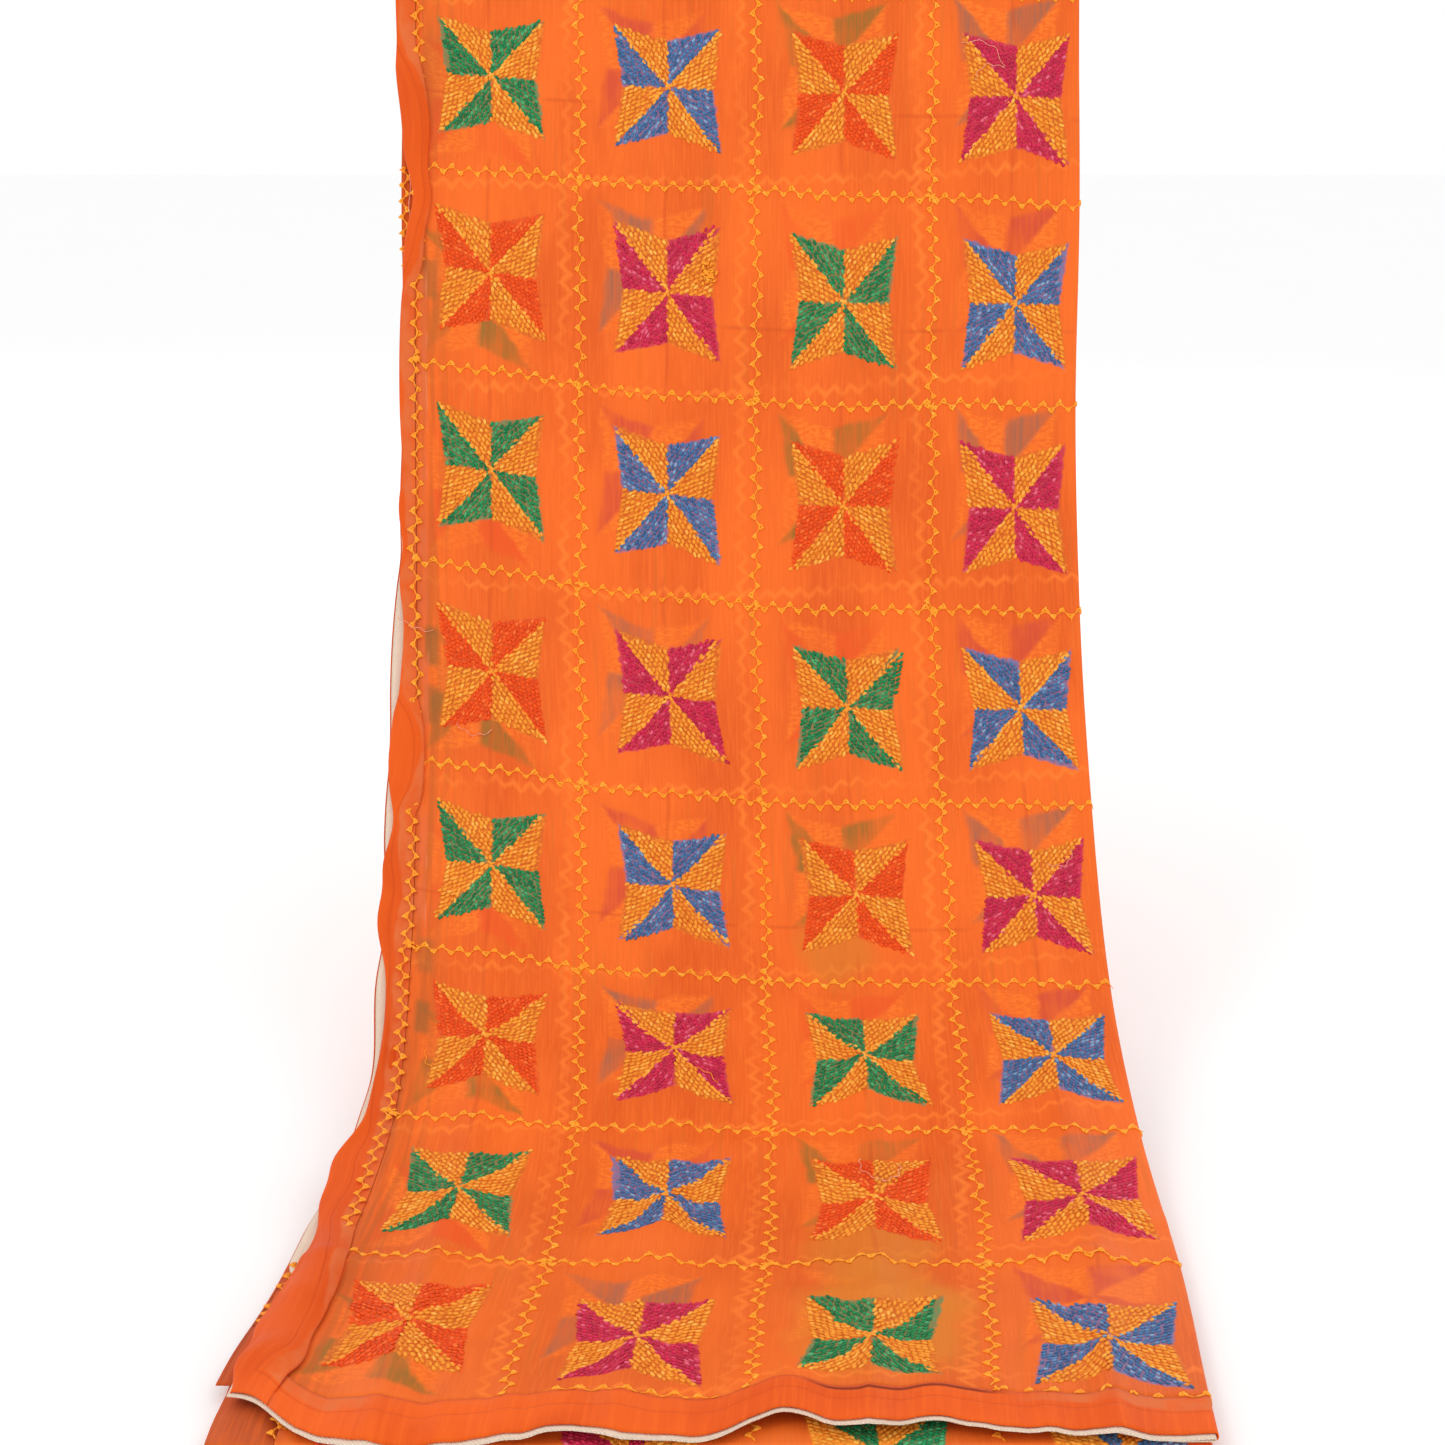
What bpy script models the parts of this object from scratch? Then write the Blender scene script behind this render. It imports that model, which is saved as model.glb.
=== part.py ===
# Embroidered shawl folded in half lengthwise and hung double over a plain round rod.
# The front half falls towards -Y, turns onto the floor and ends in a bordered hem; the rear half
# follows it close behind, comes out a little under the front hem and is turned under itself.
# Metres, +Z up, origin at the middle of the rod, the fold of the cloth at +X.
import math

import bmesh
import bpy
import numpy as np

# Sizes of the cloth
WALL = 0.001            # thickness of every cloth wall
SEAM = 0.0003           # space between neighbouring pieces
ROW = 0.1264            # one row of the stitched grid, along the length
COLUMN = 0.108          # one column of the grid, across the width
EDGE_COLUMN = 0.100     # the column next to a long border
MIDDLE_COLUMN = 0.0935  # the column next to the middle of the cloth
BORDER = 0.030          # border band all round
FRONT_WIDTH = 0.437     # from the long edge of the front layer to the lengthwise fold
FRONT_ROWS = 8.5        # rows from the rod to the last grid line in front
REAR_ROWS = 9.5         # rows from the rod to the last grid line behind
LAYER_SPACE = 0.0029    # clear space between the two layers of the front half
REAR_SPACE = 0.0010     # clear space between the two layers of the rear half
BACK_HEM_BEHIND = 0.012  # how far the back layer's hem stays behind at the open edge
TAPE_WIDTH = 0.012      # woven tape sewn on the wrong side of the border
TAPE_SHOWS = 0.002      # how far the tape comes out under the front hem

U_GRID = BORDER                          # long grid line of the front layer
U_LINE_2 = U_GRID + EDGE_COLUMN          # between columns 1 and 2
U_LINE_3 = U_LINE_2 + COLUMN             # between columns 2 and 3
U_LINE_4 = U_LINE_3 + COLUMN             # between columns 3 and 4
U_MIDDLE = U_LINE_4 + MIDDLE_COLUMN      # middle of the cloth
CLOTH_WIDTH = 2 * U_MIDDLE
BACK_WIDTH = CLOTH_WIDTH - FRONT_WIDTH
FRONT_END = FRONT_ROWS * ROW             # last grid line of the front half, from the crest
REAR_END = REAR_ROWS * ROW

# Sizes of the hang
ROD_RADIUS = 0.009
ROD_LENGTH = 0.54
ROD_SIDES = 24
ROD_BEVEL = 0.0012
WRAP_RADIUS = ROD_RADIUS + SEAM
LEAN = 16.9             # degrees from upright of the upper fall
CONVERGE = 5.0          # degrees by which the two halves close up below the rod
SWEEP_START = 0.308     # path length where the fall begins to turn forward
SWEEP_END = 1.018       # path length where it lies flat on the floor
PEEK = 1.098            # path length reached by the rear half under the front hem
DROOP_RADIUS = 0.030    # bend of the front half over the end of the rear half

BACK_MID = SEAM / 2 + WALL / 2
FRONT_MID = BACK_MID + WALL + LAYER_SPACE
FOLD_RADIUS = (FRONT_MID - BACK_MID) / 2
REAR_OUTER_MID = BACK_MID + WALL + REAR_SPACE
REAR_FOLD_RADIUS = (REAR_OUTER_MID - BACK_MID) / 2
BEND_RADIUS = REAR_OUTER_MID + WALL / 2 + 0.0004  # where the rear half is turned under
REAR_FLAT_WIDTH = FRONT_WIDTH - math.pi * REAR_FOLD_RADIUS / 2
CURL_RADIUS = 0.0011    # bend of a border that is tucked behind itself
MERGE = 0.150           # path length where the rear half has closed up to the front half
BACK_SHARE = 0.3        # part of the front layer's creases that the back layer follows
PAD_LEVEL = 0.014       # width of the front layer's edge that lies on a tucked border
PAD_SLOPE = 0.016       # width over which that raised edge runs out
BACK_PAD_SLOPE = 0.012  # the same on the back layer
REAR_INSET = 0.004      # how far the rear half's open edges stay inside the front half's

# Cloth placing by distance from the crest: x of the line between columns 2 and 3, how far the
# width is spread, how much the rows run down towards the fold, and how far the fold sticks out.
HANG = [
    # along, middle_x, spread, slope, fold_out
    (0.0000, 0.0093, 1.024, 0.00, 0.000),
    (0.0632, 0.0093, 1.024, 0.02, 0.000),
    (0.1896, 0.0093, 1.023, 0.06, 0.000),
    (0.3160, 0.0089, 1.018, 0.07, -0.002),
    (0.4424, 0.0091, 1.011, 0.085, 0.000),
    (0.5688, 0.0119, 1.006, 0.075, 0.000),
    (0.6952, 0.0138, 0.992, 0.07, 0.001),
    (0.8216, 0.0147, 0.980, 0.03, 0.004),
    (0.9480, 0.0096, 1.000, 0.02, 0.005),
    (1.0744, -0.0007, 1.000, 0.00, 0.006),
    (1.1100, -0.0030, 1.000, 0.00, 0.006),
]
# The long edges at the left, measured outwards from the front layer's grid line: where the front
# layer's border turns back, where the back layer ends, and how much of the back layer's border
# lies flat (the rest is tucked behind it).
EDGES = [
    # along, front_out, back_out, back_flat
    (0.0000, 0.0085, 0.0080, 0.0120),
    (0.0700, 0.0080, 0.0078, 0.0120),
    (0.1500, 0.0050, 0.0078, 0.0120),
    (0.1900, 0.0030, 0.0080, 0.0120),
    (0.2300, 0.0070, 0.0075, 0.0125),
    (0.3000, 0.0075, 0.0070, 0.0165),
    (0.3600, 0.0080, 0.0078, 0.0225),
    (0.4100, 0.0085, 0.0095, 0.0280),
    (0.4350, 0.0085, 0.0110, 0.0300),
    (0.4750, 0.0085, 0.0130, 0.0300),
    (0.5400, 0.0110, 0.0150, 0.0300),
    (0.5700, 0.0105, 0.0160, 0.0300),
    (0.6200, 0.0150, 0.0185, 0.0300),
    (0.6700, 0.0145, 0.0190, 0.0300),
    (0.7200, 0.0135, 0.0195, 0.0300),
    (0.7900, 0.0120, 0.0170, 0.0300),
    (0.8300, 0.0170, 0.0190, 0.0300),
    (0.8800, 0.0200, 0.0250, 0.0300),
    (0.9400, 0.0190, 0.0240, 0.0300),
    (0.9900, 0.0230, 0.0255, 0.0300),
    (1.0400, 0.0285, 0.0270, 0.0300),
    (1.1100, 0.0300, 0.0280, 0.0300),
]
# How far the front hem reaches beyond (or stays behind) its even line, across the width.
HEM_REACH = [
    # across, reach, raised
    (0.000, -0.030, 0.0010),
    (0.025, -0.010, 0.0000),
    (0.050, 0.004, 0.0010),
    (0.078, 0.012, 0.0020),
    (0.112, 0.010, 0.0030),
    (0.140, -0.003, 0.0045),
    (0.168, -0.005, 0.0035),
    (0.200, 0.003, 0.0015),
    (0.226, 0.001, 0.0010),
    (0.244, -0.014, 0.0030),
    (0.258, -0.020, 0.0040),
    (0.276, -0.010, 0.0025),
    (0.320, -0.013, 0.0020),
    (0.348, -0.006, 0.0020),
    (0.400, -0.001, 0.0010),
    (0.437, 0.001, 0.0005),
]
# Soft lengthwise creases of the front layer: place across, half width, and height of the ridge
# at the rod, half way down and on the floor.
CREASES = [
    # across, half_width, top, middle, floor
    (0.076, 0.020, 0.0010, 0.0022, 0.0040),
    (0.184, 0.018, 0.0012, 0.0026, 0.0046),
    (0.292, 0.018, 0.0012, 0.0028, 0.0042),
    (0.397, 0.018, 0.0010, 0.0020, 0.0036),
]
# Crosswise swells of the front layer where it turns onto the floor.
SWELLS = [
    # along, half_width, height, across, half_length
    (0.770, 0.026, 0.0024, 0.120, 0.110),
    (0.865, 0.024, 0.0030, 0.330, 0.120),
    (0.925, 0.022, 0.0022, 0.180, 0.090),
    (0.985, 0.024, 0.0034, 0.290, 0.130),
    (1.035, 0.018, 0.0020, 0.090, 0.080),
]


def column_of(rows, index):
    return np.array([row[index] for row in rows], dtype=float)


def eased(rows, index, at):
    """Smooth curve through one column of a table, read at the given places."""
    xs, ys = column_of(rows, 0), column_of(rows, index)
    slope = np.gradient(ys, xs)
    at = np.clip(np.asarray(at, dtype=float), xs[0], xs[-1])
    k = np.clip(np.searchsorted(xs, at) - 1, 0, len(xs) - 2)
    step = xs[k + 1] - xs[k]
    t = (at - xs[k]) / step
    ends = ys[k] * (2 * t**3 - 3 * t**2 + 1) + ys[k + 1] * (3 * t**2 - 2 * t**3)
    return ends + step * (slope[k] * (t**3 - 2 * t**2 + t) + slope[k + 1] * (t**3 - t**2))


def ease(t):
    t = np.clip(t, 0.0, 1.0)
    return t * t * (3 - 2 * t)


def bump(distance, half_width):
    """One soft ridge: 1 at its middle, 0 beyond its half width."""
    t = np.clip(np.abs(distance) / half_width, 0.0, 1.0)
    return 0.5 + 0.5 * np.cos(math.pi * t)


# The two paths
class Path:
    """A line in the YZ plane with its arc length and the normals on its cloth side."""

    def __init__(self, points, side):
        points = np.array(points)
        steps = np.linalg.norm(np.diff(points, axis=0), axis=1)
        self.along = np.concatenate([[0.0], np.cumsum(steps)])
        self.points = points
        tangent = np.gradient(points, self.along, axis=0)
        tangent /= np.linalg.norm(tangent, axis=1)[:, None]
        self.normals = side * np.stack([tangent[:, 1], -tangent[:, 0]], axis=1)
        self.length = self.along[-1]

    def at(self, s):
        """Point and normal at arc length s (arrays)."""
        s = np.clip(s, 0.0, self.length)
        point = [np.interp(s, self.along, self.points[:, i]) for i in (0, 1)]
        normal = [np.interp(s, self.along, self.normals[:, i]) for i in (0, 1)]
        size = np.hypot(normal[0], normal[1])
        return point[0], point[1], normal[0] / size, normal[1] / size


def front_path():
    """From the crest over the front of the rod, down the leaning fall and out over the floor."""
    step = 0.0005
    s = np.arange(0.0, 1.2, step)
    start_angle = LEAN - CONVERGE
    wrap = WRAP_RADIUS * math.radians(90 - start_angle)
    angle = np.where(s < wrap, 90 - np.degrees(s / WRAP_RADIUS), start_angle)
    angle = np.where(s >= wrap, start_angle + CONVERGE * ease((s - wrap - 0.07) / 0.05), angle)
    angle = angle + (90 - LEAN) * ease((s - SWEEP_START) / (SWEEP_END - SWEEP_START))
    angle = angle - np.degrees(np.maximum(s - PEEK, 0.0) / DROOP_RADIUS)
    turn = np.radians(angle)
    y = np.concatenate([[0.0], -np.cumsum(np.sin(turn[:-1])) * step])
    z = WRAP_RADIUS + np.concatenate([[0.0], -np.cumsum(np.cos(turn[:-1])) * step])
    return Path(np.stack([y, z], axis=1), 1.0)


def rear_path(front):
    """Over the back of the rod, close behind the front half, then turned under at its end."""
    finish = math.radians(-(LEAN + CONVERGE))
    wrap = [(WRAP_RADIUS * math.cos(a), WRAP_RADIUS * math.sin(a))
            for a in np.linspace(math.pi / 2, finish, 40)]
    py, pz, ny, nz = front.at(np.arange(MERGE, PEEK, 0.001))
    follow = np.stack([py - SEAM * ny, pz - SEAM * nz], axis=1)
    start = np.array(wrap[-1])
    lead = np.array([-math.sin(-finish), -math.cos(-finish)])
    arrive = follow[1] - follow[0]
    arrive /= np.linalg.norm(arrive)
    reach = np.linalg.norm(follow[0] - start)
    blend = []
    for t in np.linspace(0, 1, 40)[1:-1]:
        blend.append(start * (2 * t**3 - 3 * t**2 + 1) + follow[0] * (3 * t**2 - 2 * t**3)
                     + reach * (lead * (t**3 - 2 * t**2 + t) + arrive * (t**3 - t**2)))
    centre = follow[-1] + np.array([0.0, -BEND_RADIUS])
    bend = [centre + BEND_RADIUS * np.array([-math.sin(a), math.cos(a)])
            for a in np.linspace(0, math.pi, 30)[1:]]
    under = [bend[-1] + np.array([d, 0.0]) for d in np.arange(0.001, 0.16, 0.001)]
    line = np.concatenate([wrap, blend, follow, bend, under])
    return Path(line, -1.0)


FRONT_PATH = front_path()
REAR_PATH = rear_path(FRONT_PATH)


# Placing the cloth
def grid_x(along):
    """x of the front layer's long grid line."""
    spread = eased(HANG, 2, along)
    return eased(HANG, 1, along) - (U_LINE_3 - U_GRID) * spread


def fold_x(along):
    """x of the middle of the lengthwise fold's curve."""
    spread = eased(HANG, 2, along)
    out = eased(HANG, 4, along)
    return eased(HANG, 1, along) + (U_LINE_4 - U_LINE_3 + 0.088) * spread + out


def path_length(u, v):
    """Place on the path of the front half: rows run down a little towards the fold, and the
    end of the cloth reaches more or less far over the floor."""
    slope = eased(HANG, 3, v) * (u - U_LINE_3)
    reach = eased(HEM_REACH, 1, u) * ease((v - FRONT_END + 0.11) / 0.14)
    return v + slope + reach


def back_path_length(u, v):
    """The same for the back layer, whose hem stays a little behind towards the open edge."""
    slope = eased(HANG, 3, v) * (u - U_LINE_3)
    reach = HEM_REACH[-1][1] - BACK_HEM_BEHIND * (1 - u / FRONT_WIDTH)
    return v + slope + reach * ease((v - FRONT_END + 0.11) / 0.14)


def front_lift(u, v):
    """How far the front layer stands off its resting place: creases, swells and the raised hem."""
    lift = 0.0
    for across, half, top, middle, floor in CREASES:
        upper = top + (middle - top) * ease(v / 0.55)
        height = upper + (floor - middle) * ease((v - 0.55) / 0.35)
        lift = lift + height * bump(u - across, half)
    for along, half, height, across, half_length in SWELLS:
        lift = lift + height * bump(v - along, half) * bump(u - across, half_length)
    lift = lift + eased(HEM_REACH, 2, u) * ease((v - FRONT_END + 0.05) / 0.06)
    return lift * ease((v - 0.012) / 0.05)


def tuck_lift(inside, v, level, slope):
    """Height that the back layer's tucked border adds near the long edge: all of it up to a
    distance inside the grid line, then running out over a slope."""
    rest = np.maximum(BORDER - eased(EDGES, 3, v), 0.0)
    turned = np.minimum(rest / CURL_RADIUS, math.pi)
    return CURL_RADIUS * (1 - np.cos(turned)) * ease((level + slope - inside) / slope)


def edge_puff(u, v):
    """Roll of the front layer's long edge."""
    near = ease((U_GRID + 0.016 - u) / 0.016) * ease((v - 0.012) / 0.05)
    return (0.0014 + 0.0008 * np.sin(v * 31.0) ** 2) * near


def on_path(path, x, s, n):
    y, z, ny, nz = path.at(s)
    return np.stack([x + 0 * s, y + n * ny, z + n * nz], axis=-1)


def front_height(u, v):
    """Height of the front layer above its path."""
    pad = tuck_lift(u - U_GRID, v, PAD_LEVEL, PAD_SLOPE)
    return FRONT_MID + front_lift(u, v) + pad + edge_puff(u, v)


def front_layer(u, v):
    """Front layer of the front half: points of its middle surface."""
    s = path_length(u, v)
    spread = eased(HANG, 2, v)
    x = eased(HANG, 1, v) + (u - U_LINE_3) * spread
    x = x + eased(HANG, 4, v) * ease((u - U_LINE_4) / 0.088)
    return on_path(FRONT_PATH, x, s, front_height(u, v))


def back_ground_x(u, v):
    """x of the back layer of the front half; u is measured from its own long edge."""
    start = back_grid_x(v)
    span = BACK_WIDTH - math.pi * FOLD_RADIUS / 2 - U_GRID
    return start + (u - U_GRID) / span * (fold_x(v) - start)


def back_grid_x(v):
    """x of the back layer's long grid line."""
    return grid_x(v) - eased(EDGES, 2, v) + eased(EDGES, 3, v)


def back_layer(u, v):
    """Back layer of the front half, u from its own long edge (grid line at U_GRID)."""
    x = back_ground_x(u, v)
    u_front = U_LINE_3 + (x - eased(HANG, 1, v)) / eased(HANG, 2, v)
    u_front = np.clip(u_front, 0.0, FRONT_WIDTH)
    s = back_path_length(u_front, v)
    pad = tuck_lift(u - U_GRID, v, 0.0, BACK_PAD_SLOPE)
    n = BACK_MID + BACK_SHARE * front_lift(u_front, v) + pad
    return on_path(FRONT_PATH, x, s, n)


def front_fold(angle, v):
    """The lengthwise fold, from the front layer (angle 0) round to the back layer (180)."""
    u = FRONT_WIDTH - math.pi * FOLD_RADIUS / 2
    s = path_length(u, v)
    upper = FRONT_MID + front_lift(u, v)
    lower = BACK_MID + BACK_SHARE * front_lift(u, v)
    x = fold_x(v) + FOLD_RADIUS * math.sin(angle)
    n = (upper + lower) / 2 + (upper - lower) / 2 * math.cos(angle)
    return on_path(FRONT_PATH, x, s, n)


def tucked_border(across, flat):
    """A border band that lies flat for a width and is tucked behind itself for the rest:
    distance out from the grid line, and depth below the cloth's own level."""
    rest = np.maximum(across - flat, 0.0)
    angle = np.minimum(rest / CURL_RADIUS, math.pi)
    back = np.maximum(rest - math.pi * CURL_RADIUS, 0.0)
    out = np.minimum(across, flat) + CURL_RADIUS * np.sin(angle) - back
    return out, CURL_RADIUS * (1 - np.cos(angle))


def rear_x(u, s):
    """x on the rear half, u from its long edge; squeezed a little to stay behind the front."""
    at = np.minimum(s, PEEK)
    left = grid_x(at) - eased(EDGES, 2, at) + REAR_INSET
    right = fold_x(at) - WALL
    return left + u / REAR_FLAT_WIDTH * (right - left)


def rear_layer(u, v, outer):
    """Rear half: inner layer next to the front half, outer layer on the far side."""
    n = REAR_OUTER_MID if outer else BACK_MID
    return on_path(REAR_PATH, rear_x(u, v), v, n + 0 * v)


def rear_fold(angle, v):
    x = rear_x(REAR_FLAT_WIDTH, v) + REAR_FOLD_RADIUS * math.sin(angle)
    n = (REAR_OUTER_MID + BACK_MID) / 2 + REAR_FOLD_RADIUS * math.cos(angle)
    return on_path(REAR_PATH, x, v, n + 0 * v)


# Rows and columns of the solids
def front_columns():
    """Columns of the front layer: grid lines, the ridge of each crease and its two sides."""
    places = [U_GRID + SEAM / 2, U_GRID + 0.008, U_GRID + 0.016, U_GRID + 0.024]
    for across, half, *_ in CREASES:
        places += [across - 0.55 * half, across, across + 0.55 * half]
    places += [U_LINE_2, U_LINE_3, U_LINE_4, FRONT_WIDTH - 0.018]
    places += [FRONT_WIDTH - math.pi * FOLD_RADIUS / 2 - 0.002]
    return sorted(places)


BACK_COLUMNS = [U_GRID + SEAM / 2, 0.042, 0.090, 0.150, 0.210, 0.270, 0.330, 0.385,
                BACK_WIDTH - math.pi * FOLD_RADIUS / 2 - 0.002]
REAR_COLUMNS = [U_GRID + SEAM / 2, 0.100, 0.170, 0.240, 0.310, 0.375, REAR_FLAT_WIDTH - 0.002]
FOLD_ANGLES = [math.radians(a) for a in (0, 45, 90, 135, 180)]


def front_rows(first, last, count=42):
    wrap = WRAP_RADIUS * math.radians(90 - LEAN + CONVERGE)
    rows = list(np.linspace(0.0, wrap, 7)) + [0.030, 0.052, 0.078]
    rows += list(np.linspace(0.104, last, count - len(rows)))
    rows = [r for r in rows if r > first + 0.001]
    return np.array([first] + rows)


def rear_rows(last):
    wrap = WRAP_RADIUS * math.radians(90 + LEAN + CONVERGE)
    bend = REAR_BEND_START + math.pi * BEND_RADIUS
    rows = list(np.linspace(SEAM / 2, wrap, 8)) + [0.040, 0.070, 0.105]
    rows += list(np.linspace(0.145, 0.45, 8)) + list(np.linspace(0.50, 1.02, 17))
    rows += [1.06, REAR_BEND_START - 0.003]
    rows += list(np.linspace(REAR_BEND_START, bend, 7)) + [bend + 0.01]
    rows += list(np.linspace(bend + 0.05, last, 2))
    return np.array(rows)


REAR_BEND_START = float(REAR_PATH.along[np.argmin(REAR_PATH.points[:, 0])]) \
    - math.pi * BEND_RADIUS / 2

# Building the bodies
COLOURS = {
    "ground": (0.93, 0.14, 0.02),
    "border": (0.95, 0.12, 0.03),
    "tape": (0.78, 0.66, 0.52),
    "rod": (0.30, 0.20, 0.12),
}


def make_material(name, colour, roughness):
    material = bpy.data.materials.new(name)
    material.use_nodes = True
    shader = material.node_tree.nodes["Principled BSDF"]
    shader.inputs["Base Color"].default_value = (*colour, 1.0)
    shader.inputs["Roughness"].default_value = roughness
    return material


def make_body(name, vertices, faces, colour, roughness=0.8):
    mesh = bpy.data.meshes.new(name)
    mesh.from_pydata([tuple(v) for v in vertices], [], faces)
    shape = bmesh.new()
    shape.from_mesh(mesh)
    bmesh.ops.recalc_face_normals(shape, faces=shape.faces)
    shape.to_mesh(mesh)
    shape.free()
    mesh.materials.append(make_material(name + "_material", COLOURS[colour], roughness))
    body = bpy.data.objects.new(name, mesh)
    bpy.context.scene.collection.objects.link(body)
    return body


def cloth_normals(middle):
    down = np.gradient(middle, axis=0)
    across = np.gradient(middle, axis=1)
    normal = np.cross(across, down)
    return normal / np.linalg.norm(normal, axis=2)[:, :, None]


def make_cloth(name, middle, colour, normal=None):
    """Closed wall about a grid of points: two faces half a wall apart and a rim."""
    rows, columns = middle.shape[:2]
    if normal is None:
        normal = cloth_normals(middle)
    upper = (middle + normal * WALL / 2).reshape(-1, 3)
    lower = (middle - normal * WALL / 2).reshape(-1, 3)
    count = rows * columns
    faces = []
    for i in range(rows - 1):
        for j in range(columns - 1):
            a, b = i * columns + j, i * columns + j + 1
            c, d = b + columns, a + columns
            for p, q, r in ((a, b, c), (a, c, d)):
                faces.append((p, q, r))
                faces.append((r + count, q + count, p + count))
    rim = [j for j in range(columns)]
    rim += [i * columns + columns - 1 for i in range(1, rows)]
    rim += [(rows - 1) * columns + j for j in range(columns - 2, -1, -1)]
    rim += [i * columns for i in range(rows - 2, 0, -1)]
    for a, b in zip(rim, rim[1:] + rim[:1]):
        faces.append((a, a + count, b + count, b))
    return make_body(name, np.concatenate([upper, lower]), faces, colour)


def grid(parts):
    """Join lines of points, each (rows, 3), into one (rows, columns, 3) grid."""
    return np.stack(parts, axis=1)


def front_half(rows):
    """Section right round a front piece: front layer, fold, back layer."""
    lines = [front_layer(np.full_like(rows, u), rows) for u in front_columns()]
    lines += [front_fold(a, rows) for a in FOLD_ANGLES]
    lines += [back_layer(np.full_like(rows, u), rows) for u in reversed(BACK_COLUMNS)]
    return grid(lines)


def rear_half(rows):
    lines = [rear_layer(np.full_like(rows, u), rows, False) for u in REAR_COLUMNS]
    lines += [rear_fold(a, rows) for a in reversed(FOLD_ANGLES)]
    lines += [rear_layer(np.full_like(rows, u), rows, True) for u in reversed(REAR_COLUMNS)]
    return grid(lines)


def front_border_strip(rows):
    """Long border of the front layer, its outer part tucked behind."""
    lines = []
    flat = eased(EDGES, 1, rows)
    for across in border_places(flat):
        out, depth = tucked_border(across, flat)
        u = U_GRID - out
        n = front_height(np.maximum(u, U_GRID), rows) - depth
        lines.append(on_path(FRONT_PATH, grid_x(rows) - out, path_length(u, rows), n))
    return grid(lines)


def back_border_strip(rows):
    """Long border of the back layer."""
    lines = []
    flat = eased(EDGES, 3, rows)
    for across in border_places(flat):
        out, depth = tucked_border(across, flat)
        lines.append(back_border_line(rows, out, depth))
    return grid(lines)


def back_border_line(rows, out, depth):
    """A line along the back layer's border, out from its grid line and below its level."""
    x = back_grid_x(rows) - out
    u = np.clip(U_GRID + (x - grid_x(rows)), 0.0, FRONT_WIDTH)
    pad = tuck_lift(np.maximum(-out, 0.0), rows, 0.0, BACK_PAD_SLOPE)
    n = BACK_MID + BACK_SHARE * front_lift(u, rows) + pad
    return on_path(FRONT_PATH, x, back_path_length(u, rows), n - depth)


def border_places(flat):
    """Distances across a border from its grid line, with points round the tuck."""
    bend = math.pi * CURL_RADIUS
    places = [np.full_like(flat, SEAM / 2), flat * 0.55]
    for part in (0.0, 0.25, 0.5, 0.75, 1.0):
        places.append(np.minimum(flat + bend * part, BORDER - 0.0016 + 0.0004 * 4 * part))
    places.append(np.full_like(flat, BORDER + 0.0006))
    return places


def back_tape(rows):
    """Woven tape on the wrong side of the back layer's long border."""
    places = (BORDER - TAPE_WIDTH, BORDER - TAPE_WIDTH / 2, BORDER - 0.0004)
    return grid([back_border_line(rows, np.full_like(rows, out), -(WALL + SEAM))
                 for out in places])


def rear_border_strip(rows, outer):
    lines = [rear_layer(np.full_like(rows, u), rows, outer)
             for u in (0.0, BORDER / 2, U_GRID - SEAM / 2)]
    return grid(lines)


def make_rod():
    """Plain round rod with slightly eased ends."""
    half = ROD_LENGTH / 2
    rings = [(-half, ROD_RADIUS - ROD_BEVEL), (-half + ROD_BEVEL, ROD_RADIUS),
             (half - ROD_BEVEL, ROD_RADIUS), (half, ROD_RADIUS - ROD_BEVEL)]
    vertices, faces = [], []
    for x, radius in rings:
        for k in range(ROD_SIDES):
            a = 2 * math.pi * k / ROD_SIDES
            vertices.append((x, radius * math.cos(a), radius * math.sin(a)))
    for ring in range(len(rings) - 1):
        for k in range(ROD_SIDES):
            a = ring * ROD_SIDES + k
            b = ring * ROD_SIDES + (k + 1) % ROD_SIDES
            faces.append((a, b, b + ROD_SIDES, a + ROD_SIDES))
    faces.append(tuple(range(ROD_SIDES)))
    last = (len(rings) - 1) * ROD_SIDES
    faces.append(tuple(last + k for k in reversed(range(ROD_SIDES))))
    return make_body("hanging_rod", vertices, faces, "rod", 0.5)


for leftover in list(bpy.data.objects):
    bpy.data.objects.remove(leftover, do_unlink=True)

hem_end = FRONT_END + BORDER
taped_rows = np.linspace(hem_end - TAPE_WIDTH, hem_end, 4)
hem_rows = np.array([FRONT_END + SEAM / 2, FRONT_END + 0.010, *taped_rows])
fall_rows = front_rows(SEAM / 2, FRONT_END - SEAM / 2)
edge_rows = np.concatenate([fall_rows, hem_rows])
rear_all_rows = rear_rows(REAR_END - SEAM / 2)
rear_hem_rows = np.array([REAR_END + SEAM / 2, REAR_END + BORDER])
rear_edge_rows = np.concatenate([rear_all_rows, rear_hem_rows])
back_tape_rows = edge_rows[edge_rows > 0.425]

make_cloth("front_fall", front_half(fall_rows), "ground")
make_cloth("rear_fall", rear_half(rear_all_rows), "ground")
make_cloth("front_long_border", front_border_strip(edge_rows), "border")
make_cloth("back_layer_long_border", back_border_strip(edge_rows), "border")

# The tape lies inside the folded hem, a wall and a seam away from it, and comes out below it.
hem = front_half(np.append(hem_rows, hem_end + TAPE_SHOWS))
hem_normals = cloth_normals(hem)
tape = hem + (WALL + SEAM) * hem_normals
make_cloth("front_hem_border", hem[:-1], "border", hem_normals[:-1])
make_cloth("front_hem_tape", tape[2:], "tape", hem_normals[2:])
make_cloth("back_layer_tape", back_tape(back_tape_rows), "tape")
make_cloth("rear_inner_long_border", rear_border_strip(rear_edge_rows, False), "border")
make_cloth("rear_outer_long_border", rear_border_strip(rear_edge_rows, True), "border")
make_cloth("rear_hem_border", rear_half(rear_hem_rows), "border")
make_rod()
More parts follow.
